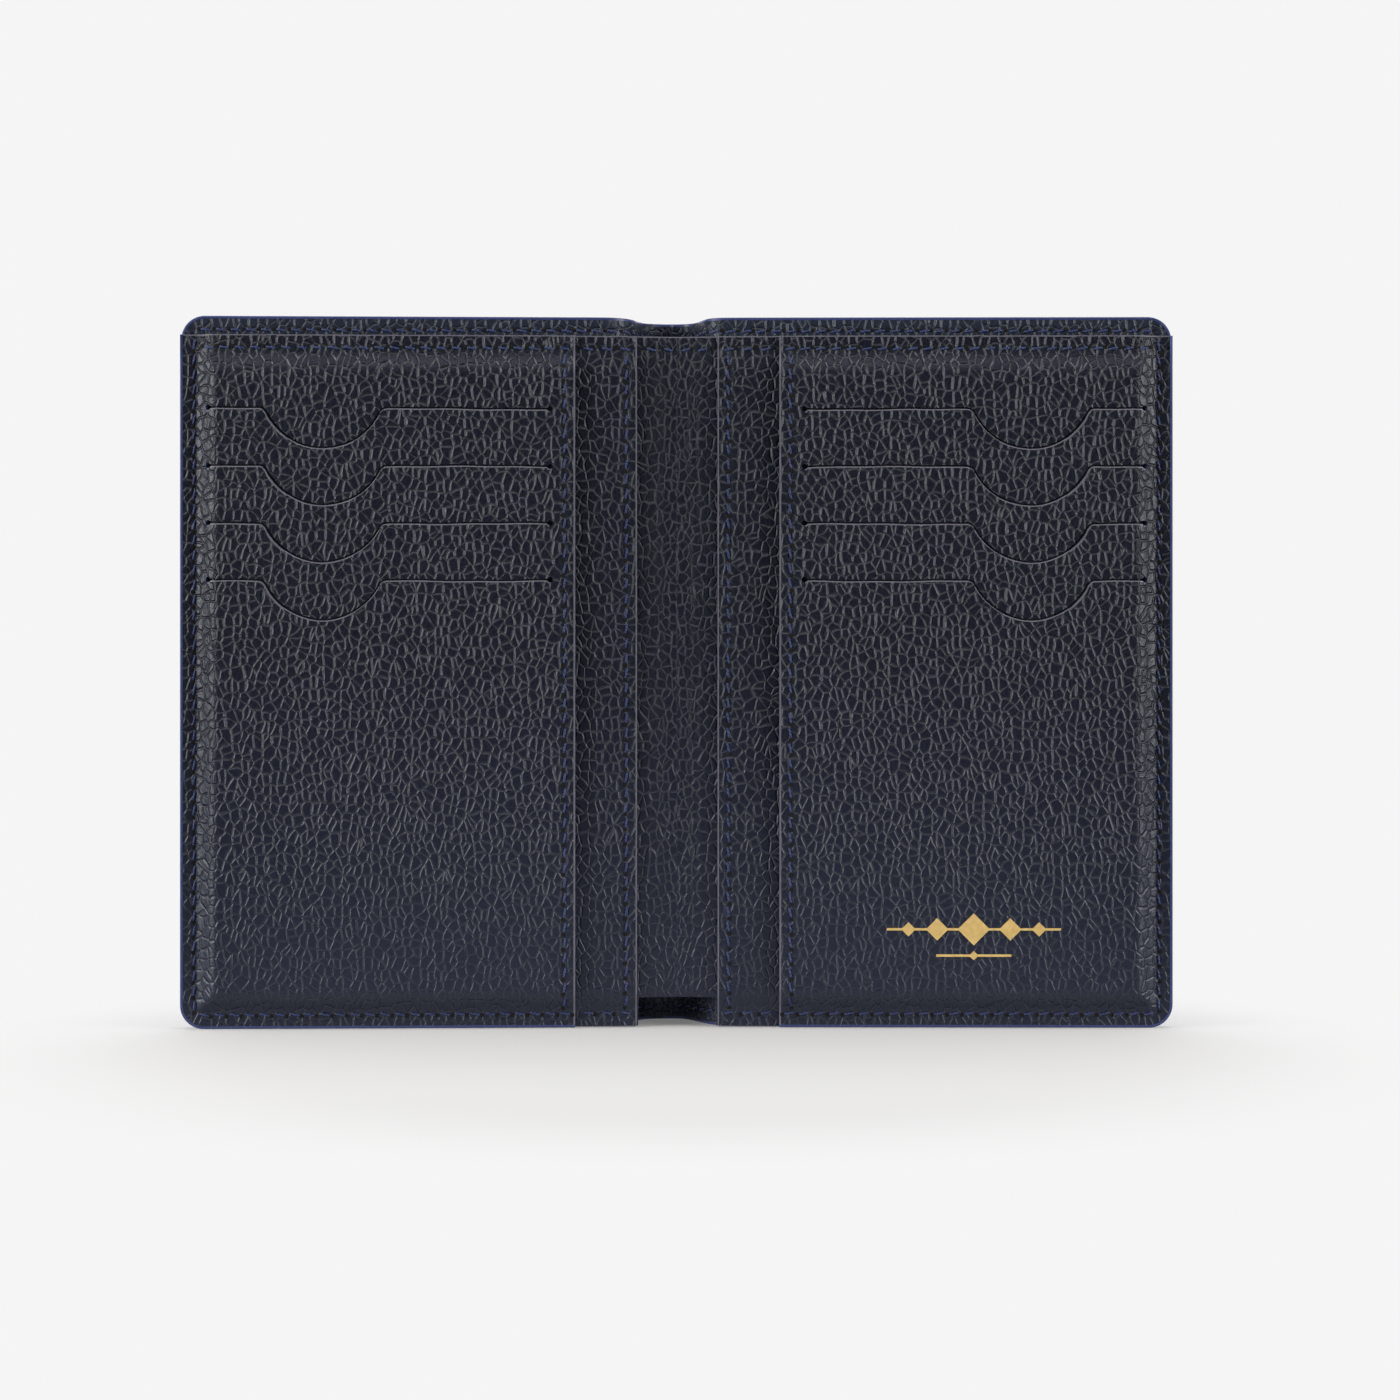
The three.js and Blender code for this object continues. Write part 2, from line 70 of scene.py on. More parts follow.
# The camera
# A long lens level with the middle of the holder and turned a little to one side, framed a little
# low. Nothing of it is part of the holder.
camera_turn = math.radians(-0.75)
camera_distance = 0.55
camera_height = 0.0623
camera_offset = 0.00378  # sideways, which puts the holder a little right of the middle
camera_back = Vector((math.sin(camera_turn), -math.cos(camera_turn), 0))
camera_right = Vector((-camera_back.y, camera_back.x, 0))
camera = bpy.data.objects.new("camera", bpy.data.cameras.new("camera"))
bpy.context.scene.collection.objects.link(camera)
camera.location = (Vector((0, cad_box[0].y, camera_height)) + camera_distance * camera_back
                   + camera_offset * camera_right)
camera.rotation_euler = (math.radians(90), 0, camera_turn)
camera.data.sensor_width = 36
camera.data.lens = 84.5
camera.data.shift_y = -0.0299
camera.data.clip_start = 0.01
camera.data.clip_end = 20
bpy.context.scene.camera = camera

# Outer cover
# One piece of navy pebbled leather 0.8 mm thick that wraps the back of both halves and stands out
# in a soft trough at the spine. Its edge is cut square, painted and folded nowhere.
SIDES = {"left": -1, "right": 1}
fold = {j["child"]: j for j in frame["record"]["behaviour"]["joints"]}
fold_x = 1000 * fold["right_half"]["pos_m"][0]
fold_y = 1000 * fold["right_half"]["pos_m"][1]
lean = -math.radians(fold["right_half"]["range_deg"][0])
cover_leather = 0.8
paint = 0.2  # the painted bead on a cut edge, which makes up the size


def local_extent(node):
    """u, v and z ranges of a CAD node in its half's own directions, in millimetres."""
    side = -1 if "_left" in node else 1
    co = np.array([v.co for v in frame["nodes"][node].data.vertices], float) * 1000
    x, y = side * co[:, 0] - fold_x, co[:, 1] - fold_y
    u = x * math.cos(lean) - y * math.sin(lean)
    v = -x * math.sin(lean) - y * math.cos(lean)
    return [(a.min(), a.max()) for a in (u, v, co[:, 2])]


(_, half_width), _, (_, cover_height) = local_extent("outer_cover_right")
corner = 4.0
line_end = half_width + 6  # lines of the cover and the wall run on past the outer edge
nominal_trough = 11.3  # the depth that the trough's outlines below are drawn for
trough = 1000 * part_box("outer_cover_spine")[1].y - fold_y - cover_leather / 2


def smooth(t):
    t = np.clip(t, 0, 1)
    return t * t * (3 - 2 * t)


def on_half(u):
    """A point of the right half's cover line seen from above, from the spine's middle plane."""
    return fold_x + u * math.cos(lean), -u * math.sin(lean)


def line_through(points, count=600):
    """A smooth line through points, at even steps."""
    p = np.array([2 * np.array(points[0]) - points[1], *points, 2 * np.array(points[-1]) - points[-2]])
    pieces = []
    for a, b, c, d in zip(p[:-3], p[1:-2], p[2:-1], p[3:]):
        t = np.linspace(0, 1, 60, endpoint=False)[:, None]
        pieces.append(0.5 * (2 * b + (c - a) * t + (2 * a - 5 * b + 4 * c - d) * t**2
                             + (3 * b - a - 3 * c + d) * t**3))
    pieces.append(p[-2][None])
    fine = np.concatenate(pieces)
    length = np.append(0, np.cumsum(np.linalg.norm(np.diff(fine, axis=0), axis=1)))
    even = np.linspace(0, length[-1], count)
    return np.stack([np.interp(even, length, fine[:, k]) for k in (0, 1)], 1)


def trough_line(points):
    """The cover's line from the left half round the trough to the right half."""
    outer = [on_half(u) for u in np.linspace(8, line_end, 30)]
    left = [(-x, y) for x, y in outer[::-1]]
    return left + [(x, y * trough / nominal_trough) for x, y in points] + outer


at_top = line_through(trough_line([
    (-12.0, 0.0), (-10.3, 0.65), (-8.9, 2.2), (-8.0, 4.4), (-7.3, 7.0), (-5.7, 9.8), (-2.6, 11.15),
    (0.5, 11.2), (2.7, 10.2), (4.2, 7.5), (5.1, 4.1), (5.95, 1.5), (7.4, 0.2), (10.0, -0.1)]), 2400)
at_foot = line_through(trough_line([
    (-12.0, 0.0), (-10.3, 0.9), (-9.2, 2.8), (-8.4, 5.1), (-7.6, 7.6), (-5.8, 10.2), (-2.8, 11.2),
    (0.1, 11.25), (1.8, 10.3), (3.4, 7.8), (4.9, 4.8), (6.4, 2.0), (8.1, 0.45), (10.4, -0.05)]), 2400)


def side_line(line, side, split):
    """Half of a line from its point split, as p (the distance from the fold, negative in the
    trough), point and normal."""
    half = line[split:] if side > 0 else line[split::-1]
    tangent = np.gradient(half, axis=0)
    tangent /= np.linalg.norm(tangent, axis=1)[:, None]
    normal = np.stack([tangent[:, 1], -tangent[:, 0]], 1) * side
    p = np.append(0, np.cumsum(np.linalg.norm(np.diff(half, axis=0), axis=1)))
    return p + line_end - p[-1], half, normal


cover_lines = {"left": [], "right": []}
for line in (at_foot, at_top):
    # The halves of the cover meet near the deepest part of the trough, a little to the left.
    split = np.argmin(np.abs(line[:, 0] + 0.8) + 50 * (line[:, 1] < 0.5))
    for name, side in SIDES.items():
        cover_lines[name].append(side_line(line, side, split))
trough_end = {name: 0.5 * sum(line[0][0] for line in lines) for name, lines in cover_lines.items()}


def follow(lines, p, v, z, height):
    """Row frame points at distance p along a pair of lines, v in front of them and z up, in mm."""
    p, v, z = np.broadcast_arrays(np.asarray(p, float), v, z)
    found = []
    first = 0.5 * (lines[0][0][0] + lines[1][0][0])
    straight = 12  # from here both lines are the same
    for own, point, normal in lines:
        # Both lines run from the same middle, so the trough part is stretched to match.
        stretch = (straight - own[0]) / (straight - first)
        q = np.where(p < straight, straight + (p - straight) * stretch, p)
        found.append([np.interp(q, own, c) for c in (*point.T, *normal.T)])
    share = smooth(z / height)
    x, y, nx, ny = [a + (b - a) * share for a, b in zip(*found)]
    return np.stack([x + nx * v, y + ny * v + fold_y, z], -1)


def on_cover(name, p, v, z):
    return follow(cover_lines[name], p, v, z, cover_height)


def flat(name, u, v, z):
    """Row frame points of a half, u out from the fold, v in front of the cover and z up, in mm."""
    u, v, z = np.broadcast_arrays(np.asarray(u, float), v, z)
    x = fold_x + u * math.cos(lean) - v * math.sin(lean)
    y = -u * math.sin(lean) - v * math.cos(lean)
    return np.stack([SIDES[name] * x, y + fold_y, z], -1)


def stops(*spans):
    """Positions from (start, end, step) spans, each start given once."""
    out = []
    for start, end, step in spans:
        out.append(np.linspace(start, end, max(2, 1 + round(abs(end - start) / step)))[:-1])
    return np.append(np.concatenate(out), spans[-1][1])


def rounded(u, z, height, top=True):
    """u moved in where the outer corners are round."""
    edge, radius = half_width - paint, corner - paint
    low, high = paint, height - paint
    drop = np.clip(radius - (z - low), 0, radius)
    if top:
        drop = np.maximum(drop, np.clip(radius - (high - z), 0, radius))
    limit = edge - radius + np.sqrt(np.maximum(radius**2 - drop**2, 0))
    inner = edge - 6
    return np.where(u > inner, inner + (u - inner) * (limit - inner) / 6, u)


def make_piece(name, points, faces, materials, face_material=None, uv=None):
    """A mesh object from points in mm, smooth shaded, with a map in mm of its flat leather."""
    mesh = bpy.data.meshes.new(name)
    mesh.from_pydata((points / 1000).tolist(), [], faces)
    for m in materials:
        mesh.materials.append(m)
    if face_material is not None:
        mesh.polygons.foreach_set("material_index", face_material)
    if uv is not None:
        layer = mesh.uv_layers.new(name="hide")
        loops = np.zeros(len(mesh.loops), int)
        mesh.loops.foreach_get("vertex_index", loops)
        layer.uv.foreach_set("vector", uv[loops].astype(np.float32).ravel())
    mesh.polygons.foreach_set("use_smooth", [True] * len(mesh.polygons))
    mesh.validate()
    piece = bpy.data.objects.new(name, mesh)
    bpy.context.scene.collection.objects.link(piece)
    return piece


def settle(piece):
    """Makes a piece's modifiers part of its mesh."""
    view = bpy.context.evaluated_depsgraph_get()
    view.update()
    mesh = bpy.data.meshes.new_from_object(
        piece.evaluated_get(view), preserve_all_data_layers=True, depsgraph=view)
    piece.modifiers.clear()
    piece.data = mesh
    piece.data.polygons.foreach_set("use_smooth", [True] * len(piece.data.polygons))
    return piece


def painted_highlight_band(piece, test):
    """Gives the faces whose middle (distance out, height) passes the test the pale paint of a painted edge
    highlight.
    """
    count = len(piece.data.polygons)
    centre, kind = np.zeros(3 * count), np.zeros(count, int)
    piece.data.polygons.foreach_get("center", centre)
    piece.data.polygons.foreach_get("material_index", kind)
    centre = centre.reshape(-1, 3) * 1000
    kind[test((np.abs(centre[:, 0]) - fold_x) / math.cos(lean), centre[:, 2])] = 2
    piece.data.polygons.foreach_set("material_index", kind)


def grid_quads(rows, columns):
    """The point numbers of a grid, and of the corners of its faces."""
    index = np.arange(rows * columns).reshape(rows, columns)
    return index, np.stack([index[:-1, :-1], index[:-1, 1:], index[1:, 1:], index[1:, :-1]], -1)


def on_hide(points, u, side, cut_at=0):
    """Points with the place across the hide that each is cut from, so that no two sheets match."""
    return np.concatenate([points, u[..., None] + 200 * (side == "left") + cut_at], -1)


def leather_sheet(name, side, surface, thickness, materials, forward=True, bevel=0.07, keep=None):
    """A sheet of leather from a grid of surface points (rows, columns, 4: x, y, z and the u of its
    map), made thick behind that surface. forward says that the surface faces the front."""
    rows, columns = surface.shape[:2]
    _, quads = grid_quads(rows, columns)
    if (SIDES[side] > 0) != forward:
        quads = quads[..., ::-1]
    if keep is not None:
        quads = quads[keep]
    quads = quads.reshape(-1, 4)
    used = np.unique(quads)
    order = -np.ones(rows * columns, int)
    order[used] = np.arange(len(used))
    flat_points = surface.reshape(-1, 4)[used]
    uv = np.stack([flat_points[:, 3], flat_points[:, 2]], 1)
    piece = make_piece(name, flat_points[:, :3], order[quads].tolist(), materials, uv=uv)
    thick = piece.modifiers.new("thickness", "SOLIDIFY")
    thick.thickness = thickness / 1000
    thick.offset = -1
    thick.material_offset_rim = 1 if len(materials) > 1 else 0
    if bevel:
        edge = piece.modifiers.new("edge", "BEVEL")
        edge.width = bevel / 1000
        edge.segments = 2
        edge.limit_method = "ANGLE"
        edge.angle_limit = math.radians(55)
        edge.material = 1 if len(materials) > 1 else -1
    return settle(piece)


def group_node(tree, group, **values):
    node = tree.nodes.new("ShaderNodeGroup")
    node.node_tree = group
    for key, value in values.items():
        node.inputs[key.replace("_", " ")].default_value = value
    return node


def set_input(tree, socket, value):
    """Gives a socket a number or a link."""
    if isinstance(value, (int, float)):
        socket.default_value = value
    else:
        tree.links.new(value, socket)


def math_node(tree, operation, a, b):
    node = tree.nodes.new("ShaderNodeMath")
    node.operation = operation
    set_input(tree, node.inputs[0], a)
    set_input(tree, node.inputs[1], b)
    return node.outputs[0]


def ramp(tree, value, low, high, to_low=0.0, to_high=1.0):
    """A value taken smoothly from one range to another."""
    node = tree.nodes.new("ShaderNodeMapRange")
    node.interpolation_type = "SMOOTHSTEP"
    for key, number in (("From Min", low), ("From Max", high), ("To Min", to_low), ("To Max", to_high)):
        set_input(tree, node.inputs[key], number)
    tree.links.new(value, node.inputs["Value"])
    return node.outputs[0]


def noise(tree, vector, scale, detail=2.0, roughness=0.5):
    node = tree.nodes.new("ShaderNodeTexNoise")
    node.inputs["Scale"].default_value = scale
    node.inputs["Detail"].default_value = detail
    node.inputs["Roughness"].default_value = roughness
    tree.links.new(vector, node.inputs["Vector"])
    return node.outputs


def in_place(tree):
    """The place of a point on its piece, in metres."""
    return tree.nodes.new("ShaderNodeTexCoord").outputs["Object"]


def new_group(name, inputs, outputs):
    group = bpy.data.node_groups.new(name, "ShaderNodeTree")
    for label, kind, default in inputs:
        socket = group.interface.new_socket(label, in_out="INPUT", socket_type=kind)
        if default is not None:
            socket.default_value = default
    for label, kind in outputs:
        group.interface.new_socket(label, in_out="OUTPUT", socket_type=kind)
    return group, group.nodes.new("NodeGroupInput"), group.nodes.new("NodeGroupOutput")


# Pebbles pressed into the hide: rounded cells parted by creases that come and go, with a fine
# skin grain over them. Its vector is in metres of flat hide.
pebble, pebble_in, pebble_out = new_group(
    "pebbled hide",
    [("Vector", "NodeSocketVector", None), ("Cell mm", "NodeSocketFloat", 1.5),
     ("Crease", "NodeSocketFloat", 0.5)],
    [("Height", "NodeSocketFloat"), ("Crease", "NodeSocketFloat"), ("Tone", "NodeSocketFloat"),
     ("Fine", "NodeSocketFloat")])
n = pebble.nodes
to_mm = n.new("ShaderNodeVectorMath")
to_mm.operation = "MULTIPLY"
to_mm.inputs[1].default_value = (1150, 860, 1000)  # the pebbles are longer up the hide than across
pebble.links.new(pebble_in.outputs["Vector"], to_mm.inputs[0])
hide_mm = to_mm.outputs[0]
pull = n.new("ShaderNodeVectorMath")
pull.operation = "MULTIPLY_ADD"
pull.inputs[1].default_value = (1.6, 1.6, 1.6)
pebble.links.new(noise(pebble, hide_mm, 0.30, 1)["Color"], pull.inputs[0])
pebble.links.new(hide_mm, pull.inputs[2])
per_cell = math_node(pebble, "DIVIDE", 1.0, pebble_in.outputs["Cell mm"])


def cells(share, seed):
    """Distance to the border of cells, share as large as a whole pebble."""
    shift = n.new("ShaderNodeVectorMath")
    shift.operation = "ADD"
    shift.inputs[1].default_value = (seed, 2.7 * seed, 0)
    pebble.links.new(pull.outputs[0], shift.inputs[0])
    node = n.new("ShaderNodeTexVoronoi")
    node.voronoi_dimensions = "2D"
    node.feature = "DISTANCE_TO_EDGE"
    node.inputs["Randomness"].default_value = 0.95
    pebble.links.new(shift.outputs[0], node.inputs["Vector"])
    pebble.links.new(math_node(pebble, "DIVIDE", per_cell, share), node.inputs["Scale"])
    return node.outputs["Distance"]


patches = noise(pebble, hide_mm, 0.85)["Fac"]
strength = ramp(pebble, patches, 0.36, 0.62, 0.22, 1.0)
large = cells(1.0, 3.1)
small = cells(0.5, 11.7)
dome = ramp(pebble, large, 0.0, 0.175)
low_dome = ramp(pebble, small, 0.0, 0.25)
fine = noise(pebble, hide_mm, 4.5, 3, 0.6)["Fac"]
height = math_node(pebble, "ADD", dome, math_node(pebble, "MULTIPLY", low_dome, 0.10))
height = math_node(pebble, "ADD", height, math_node(pebble, "MULTIPLY", fine, 0.07))
pebble.links.new(height, pebble_out.inputs["Height"])
crease_line = math_node(pebble, "MULTIPLY", ramp(pebble, large, 0.015, 0.10, 1.0, 0.0), strength)
faint_line = math_node(pebble, "MULTIPLY", ramp(pebble, small, 0.0, 0.10, 1.0, 0.0), 0.2)
crease = math_node(pebble, "MAXIMUM", crease_line, faint_line)
crease = math_node(pebble, "MULTIPLY", crease, pebble_in.outputs["Crease"])
pebble.links.new(crease, pebble_out.inputs["Crease"])
pebble.links.new(patches, pebble_out.inputs["Tone"])
pebble.links.new(fine, pebble_out.inputs["Fine"])


def new_material(name):
    material = bpy.data.materials.new(name)
    material.use_nodes = True
    tree = material.node_tree
    shader = tree.nodes["Principled BSDF"]
    return material, tree, shader


def hide_map(tree):
    """The flat hide's own coordinates, in metres, that stay with the leather when it bends."""
    node = tree.nodes.new("ShaderNodeUVMap")
    node.uv_map = "hide"
    scale = tree.nodes.new("ShaderNodeVectorMath")
    scale.operation = "SCALE"
    scale.inputs["Scale"].default_value = 0.001
    tree.links.new(node.outputs["UV"], scale.inputs[0])
    return scale.outputs[0]


def mix_colour(tree, factor, a, b):
    node = tree.nodes.new("ShaderNodeMix")
    node.data_type = "RGBA"
    for socket, value in ((node.inputs["A"], a), (node.inputs["B"], b)):
        if isinstance(value, tuple):
            socket.default_value = (*value, 1)
        else:
            tree.links.new(value, socket)
    tree.links.new(factor, node.inputs["Factor"])
    return node.outputs["Result"]


def raised(tree, shader, height, distance, strength=1.0):
    """Embosses a finish by a height value; distance is its full height in metres."""
    bump = tree.nodes.new("ShaderNodeBump")
    bump.inputs["Strength"].default_value = strength
    bump.inputs["Distance"].default_value = distance
    tree.links.new(height, bump.inputs["Height"])
    tree.links.new(bump.outputs["Normal"], shader.inputs["Normal"])


def shaded(tree, shader, value, dark, light, low, high, rough_low, rough_high):
    """Colour between dark and light by a value, and roughness over the value's range low to high."""
    tree.links.new(mix_colour(tree, value, dark, light), shader.inputs["Base Color"])
    tree.links.new(ramp(tree, value, low, high, rough_low, rough_high), shader.inputs["Roughness"])


def tinted(colour, share):
    return tuple(share * c for c in colour)


def navy_leather(name, cell, depth, rough, body=(0.0028, 0.0044, 0.0135), calm_and_painted_bounce=None):
    """Drum dyed navy leather with pressed pebbles; depth is the pebbles' height in mm, and the last
    argument the two heights between which the hide turns from its smoother to its full grain. Towards
    the foot the colour is painted lighter and bluer as a reflection of the floor, and the painted
    crease highlights fade."""
    crease_highlight_colour, crease = (0.074, 0.074, 0.085), 0.85  # the creases' painted highlight colour, and its share there
    material, tree, shader = new_material(name)
    grain = group_node(tree, pebble, Cell_mm=cell, Crease=crease)
    tree.links.new(hide_map(tree), grain.inputs["Vector"])
    crease_mask, relief = grain.outputs["Crease"], grain.outputs["Height"]
    if calm_and_painted_bounce:
        # Towards the foot the grain is calmer, and the painted crease highlights fade, as the light from
        # above is weaker there.
        up = tree.nodes.new("ShaderNodeSeparateXYZ")
        tree.links.new(hide_map(tree), up.inputs[0])
        full = ramp(tree, up.outputs["Y"], calm_and_painted_bounce[0] / 1000, calm_and_painted_bounce[1] / 1000, 0.38, 1.0)
        crease_mask = math_node(tree, "MULTIPLY", crease_mask, full)
        relief = math_node(tree, "MULTIPLY", relief, full)
    shade = mix_colour(tree, ramp(tree, grain.outputs["Tone"], 0.3, 0.7), body, tinted(body, 1.25))
    if calm_and_painted_bounce:
        # Painted floor reflection: the base colour lighter and bluer towards the foot.
        shade = mix_colour(tree, full, (4.6 * body[0], 3.7 * body[1], 2.8 * body[2]), shade)
    # Painted highlights: the creases take a lighter colour, standing in for light caught on their slopes.
    tree.links.new(mix_colour(tree, crease_mask, shade, crease_highlight_colour), shader.inputs["Base Color"])
    gloss = ramp(tree, grain.outputs["Fine"], 0.3, 0.7, rough - 0.05, rough + 0.07)
    gloss = math_node(tree, "ADD", gloss, math_node(tree, "MULTIPLY", crease_mask, 0.1))
    tree.links.new(gloss, shader.inputs["Roughness"])
    raised(tree, shader, relief, depth / 1000)
    shader.inputs["Specular IOR Level"].default_value = 0.5
    shader.inputs["Specular Tint"].default_value = (0.82, 0.90, 1.0, 1)
    return material


def painted_edge(name, colour, rough=0.38):
    """Edge paint: a smooth coat with faint waves where the layers show through."""
    material, tree, shader = new_material(name)
    waves = noise(tree, in_place(tree), 700, 3)["Fac"]
    dark, light = tinted(colour, 0.75), tinted(colour, 1.2)
    shaded(tree, shader, waves, dark, light, 0.3, 0.7, rough - 0.06, rough + 0.1)
    raised(tree, shader, waves, 0.00004, 0.6)
    return material


outer_leather = navy_leather("outer navy pebbled leather", 1.75, 0.20, 0.40)
edge_paint = painted_edge("navy edge paint", (0.042, 0.058, 0.180))
# Pale paint as a painted highlight: it marks the slots' lower lips and the panels' cut free and top edges,
# where they catch the light.
edge_highlight_paint = painted_edge("pale cut edge", (0.135, 0.135, 0.175), 0.42)
panel_finishes = [edge_paint, edge_highlight_paint]

cover_rows = stops((paint, 1.2, 0.2), (1.2, 4.2, 0.35), (4.2, 9, 1.0), (9, cover_height - 9, 3.0),
                   (cover_height - 9, cover_height - 4.2, 1.0),
                   (cover_height - 4.2, cover_height - 1.2, 0.35),
                   (cover_height - 1.2, cover_height - paint, 0.2))
SEAM = 2.4  # perimeter seam to the cut edge


def seam_dip(distance, depth=0.10, reach=0.55):
    """How far a seam pulls the leather down, by the distance from it in mm."""
    return -depth * np.exp(-((distance / reach) ** 2))


def rim_distance(u, z, height, top=True):
    """Distance from the nearest sewn outer edge of a half."""
    near = np.minimum(half_width - u, z)
    return np.minimum(near, height - z) if top else near


def cover_columns(first):
    return stops((first, 12, 0.45), (12, half_width - 7, 2.2), (half_width - 7, half_width - 1.2, 0.4),
                 (half_width - 1.2, half_width - paint, 0.2))


for name, side in SIDES.items():
    p, z = np.meshgrid(cover_columns(trough_end[name]), cover_rows)
    u = rounded(p, z, cover_height)
    v = -cover_leather / 2 - seam_dip(rim_distance(u, z, cover_height) - SEAM, 0.08)
    surface = on_hide(on_cover(name, u, v, z), u, name)
    piece = leather_sheet(f"cover_leather_{name}", name, surface, cover_leather,
                          [outer_leather, edge_paint], forward=False)
    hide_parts(f"outer_cover_{name}", *(["outer_cover_spine"] if name == "right" else []))
    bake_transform(piece)

# Stiffeners
# A thin fibre board inside each cover half, between the outer leather and the lining. Pressed and
# cut by die, it is hidden once the edges are sewn.
board, tree, shader = new_material("grey fibre board")
fibres = noise(tree, in_place(tree), 1800, 6)["Fac"]
shaded(tree, shader, fibres, (0.20, 0.15, 0.10), (0.36, 0.29, 0.21), 0.3, 0.7, 0.85, 0.95)


def finish_node(node, material):
    """A CAD node that stays, in its real finish."""
    mesh = frame["nodes"][node].data
    mesh.materials.clear()
    mesh.materials.append(material)


for name in SIDES:
    finish_node(f"cover_stiffener_{name}", board)

# Cover lining
# The same leather pared to 0.5 mm and glued inside the cover. It shows above the inner wall, under
# the trough and inside the note compartment.
# Its body colour is painted several times lighter than the outer leather's: painted light for the shaded
# inside of the trough and the strip above the wall.
lining_leather_painted_light = navy_leather("lining navy leather", 1.5, 0.18, 0.42, body=(0.0105, 0.0165, 0.0340))
lining_thick = 0.5
_, (lining_back, lining_loft_front), _ = local_extent("cover_lining_right")
MARGIN, RAMP = 3.2, 7.0  # pressed flat this far in from a sewn edge, and full loft from here


def loft(distance):
    return smooth((distance - MARGIN + 0.6) / (RAMP - MARGIN))


def lining_front(p, z):
    rise = loft(rim_distance(p, z, cover_height)) * smooth((p - 0.5) / 4)
    pressed = lining_back + lining_thick
    return pressed + (lining_loft_front - pressed) * rise


for name, side in SIDES.items():
    p, z = np.meshgrid(cover_columns(trough_end[name]), cover_rows)
    u = rounded(p, z, cover_height)
    v = lining_front(u, z) + seam_dip(rim_distance(u, z, cover_height) - SEAM)
    v = v + 0.05 * np.sin(0.55 * u + 0.2 * z) * np.exp(-((u + 4) / 9) ** 2)
    surface = on_hide(on_cover(name, u, v, z), u, name, 500)
    piece = leather_sheet(f"cover_lining_leather_{name}", name, surface, lining_thick,
                          [lining_leather_painted_light, edge_paint])
    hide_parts(f"cover_lining_{name}", *(["cover_lining_spine"] if name == "right" else []))
    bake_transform(piece)

# Inner wall
# A sheet of thinner pebbled leather across both halves, sewn to the cover at the sides and foot and
# open along the top, so that notes slide in behind it. Between the folds it bows back a little.
# Towards its foot its grain is calmer and its colour is painted lighter and bluer as a reflection of the
# floor.
panel_leather = navy_leather("inner navy pebbled leather", 1.5, 0.225, 0.38, calm_and_painted_bounce=(4, 74))
wall_thick = 0.55
_, (wall_back, wall_loft_front), (_, wall_height) = local_extent("inner_wall_right")
strip_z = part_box("inner_wall_fold")[0].z * 1000
wall_bow = 0.8
half_points = [on_half(u) for u in np.linspace(1.2, line_end, 60)]
bowed = [(fold_x * t, wall_bow * (1 - t * t)) for t in (-0.8, -0.4, 0, 0.4, 0.8)]
wall_line = line_through([(-x, y) for x, y in half_points[::-1]] + bowed + half_points, 2400)
split = np.argmin(np.abs(wall_line[:, 0]))
wall_lines = {name: [side_line(wall_line, side, split)] * 2 for name, side in SIDES.items()}
strip_middle = {name: lines[0][0][0] for name, lines in wall_lines.items()}


def on_wall(name, p, v, z):
    return follow(wall_lines[name], p, v, z, wall_height)


def wall_front(u, z):
    pressed = wall_back + wall_thick
    return pressed + (wall_loft_front - pressed) * loft(rim_distance(u, z, wall_height, top=False))


panel_rows = stops((paint, paint + 1.2, 0.2), (paint + 1.2, 8.2, 0.5), (8.2, wall_height - 8, 2.0),
                   (wall_height - 8, wall_height - 3.2, 0.8), (wall_height - 3.2, wall_height - 1, 0.3),
                   (wall_height - 1, wall_height, 0.2))


TOP_SEAM = 2.2
PALE = 0.22  # the painted highlight's width on a top edge
(slip_start, _), (slip_back, slip_loft_front), _ = local_extent("slip_pocket_panel_right")
for name, side in SIDES.items():
    first = strip_middle[name]
    us = stops((first, 0.9, 0.35), (0.9, 3.2, 0.4), (3.2, half_width - 8, 2.5),
               (half_width - 8, half_width - 1.2, 0.5), (half_width - 1.2, half_width - paint, 0.2))
    zs = np.unique(np.append(panel_rows, strip_z))
    p, z = np.meshgrid(us, zs)
    u = np.where(z < 10, rounded(p, z, cover_height, top=False), np.minimum(p, half_width - paint))
    v = wall_front(u, z) + seam_dip(z - (wall_height - TOP_SEAM), 0.09)
    # Two upright fold marks on the right part of the strip.
    x_strip = (u - first) * side
    fold_mark = np.exp(-(((x_strip - 3.1 - 0.35 * np.sin(z / 9)) / 0.45) ** 2))
    fold_mark = fold_mark + 0.6 * np.exp(-(((x_strip - 4.4) / 0.4) ** 2))
    v = v + 0.16 * fold_mark * (0.6 + 0.4 * np.sin(z / 3.7)) * smooth((110 - z) / 15 + 0.4)
    surface = on_hide(on_wall(name, u, v, z), u, name, 1000)
    centre_u, centre_z = 0.5 * (us[:-1] + us[1:]), 0.5 * (zs[:-1] + zs[1:])
    keep = ~((centre_u[None, :] < 0.9) & (centre_z[:, None] < strip_z))
    piece = leather_sheet(f"wall_leather_{name}", name, surface, wall_thick,
                          [panel_leather, *panel_finishes], keep=keep)
    # A painted highlight along the top edge of the strip.
    painted_highlight_band(piece, lambda at, z: (z > wall_height - PALE) & (at < slip_start))
    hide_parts(f"inner_wall_{name}", *(["inner_wall_fold"] if name == "right" else []))
    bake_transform(piece)

# Textile linings
# A thin dark twill glued behind the wall, the slip panels and the card panels, and folded round
# into the four card pockets of each half. Only its edges show, in the slots and from above.
twill, tree, shader = new_material("dark pocket twill")


def diagonal_bands(tree, scale, distortion):
    bands = tree.nodes.new("ShaderNodeTexWave")
    bands.bands_direction = "DIAGONAL"
    bands.inputs["Scale"].default_value = scale
    bands.inputs["Distortion"].default_value = distortion
    tree.links.new(in_place(tree), bands.inputs["Vector"])
    return bands.outputs["Fac"]


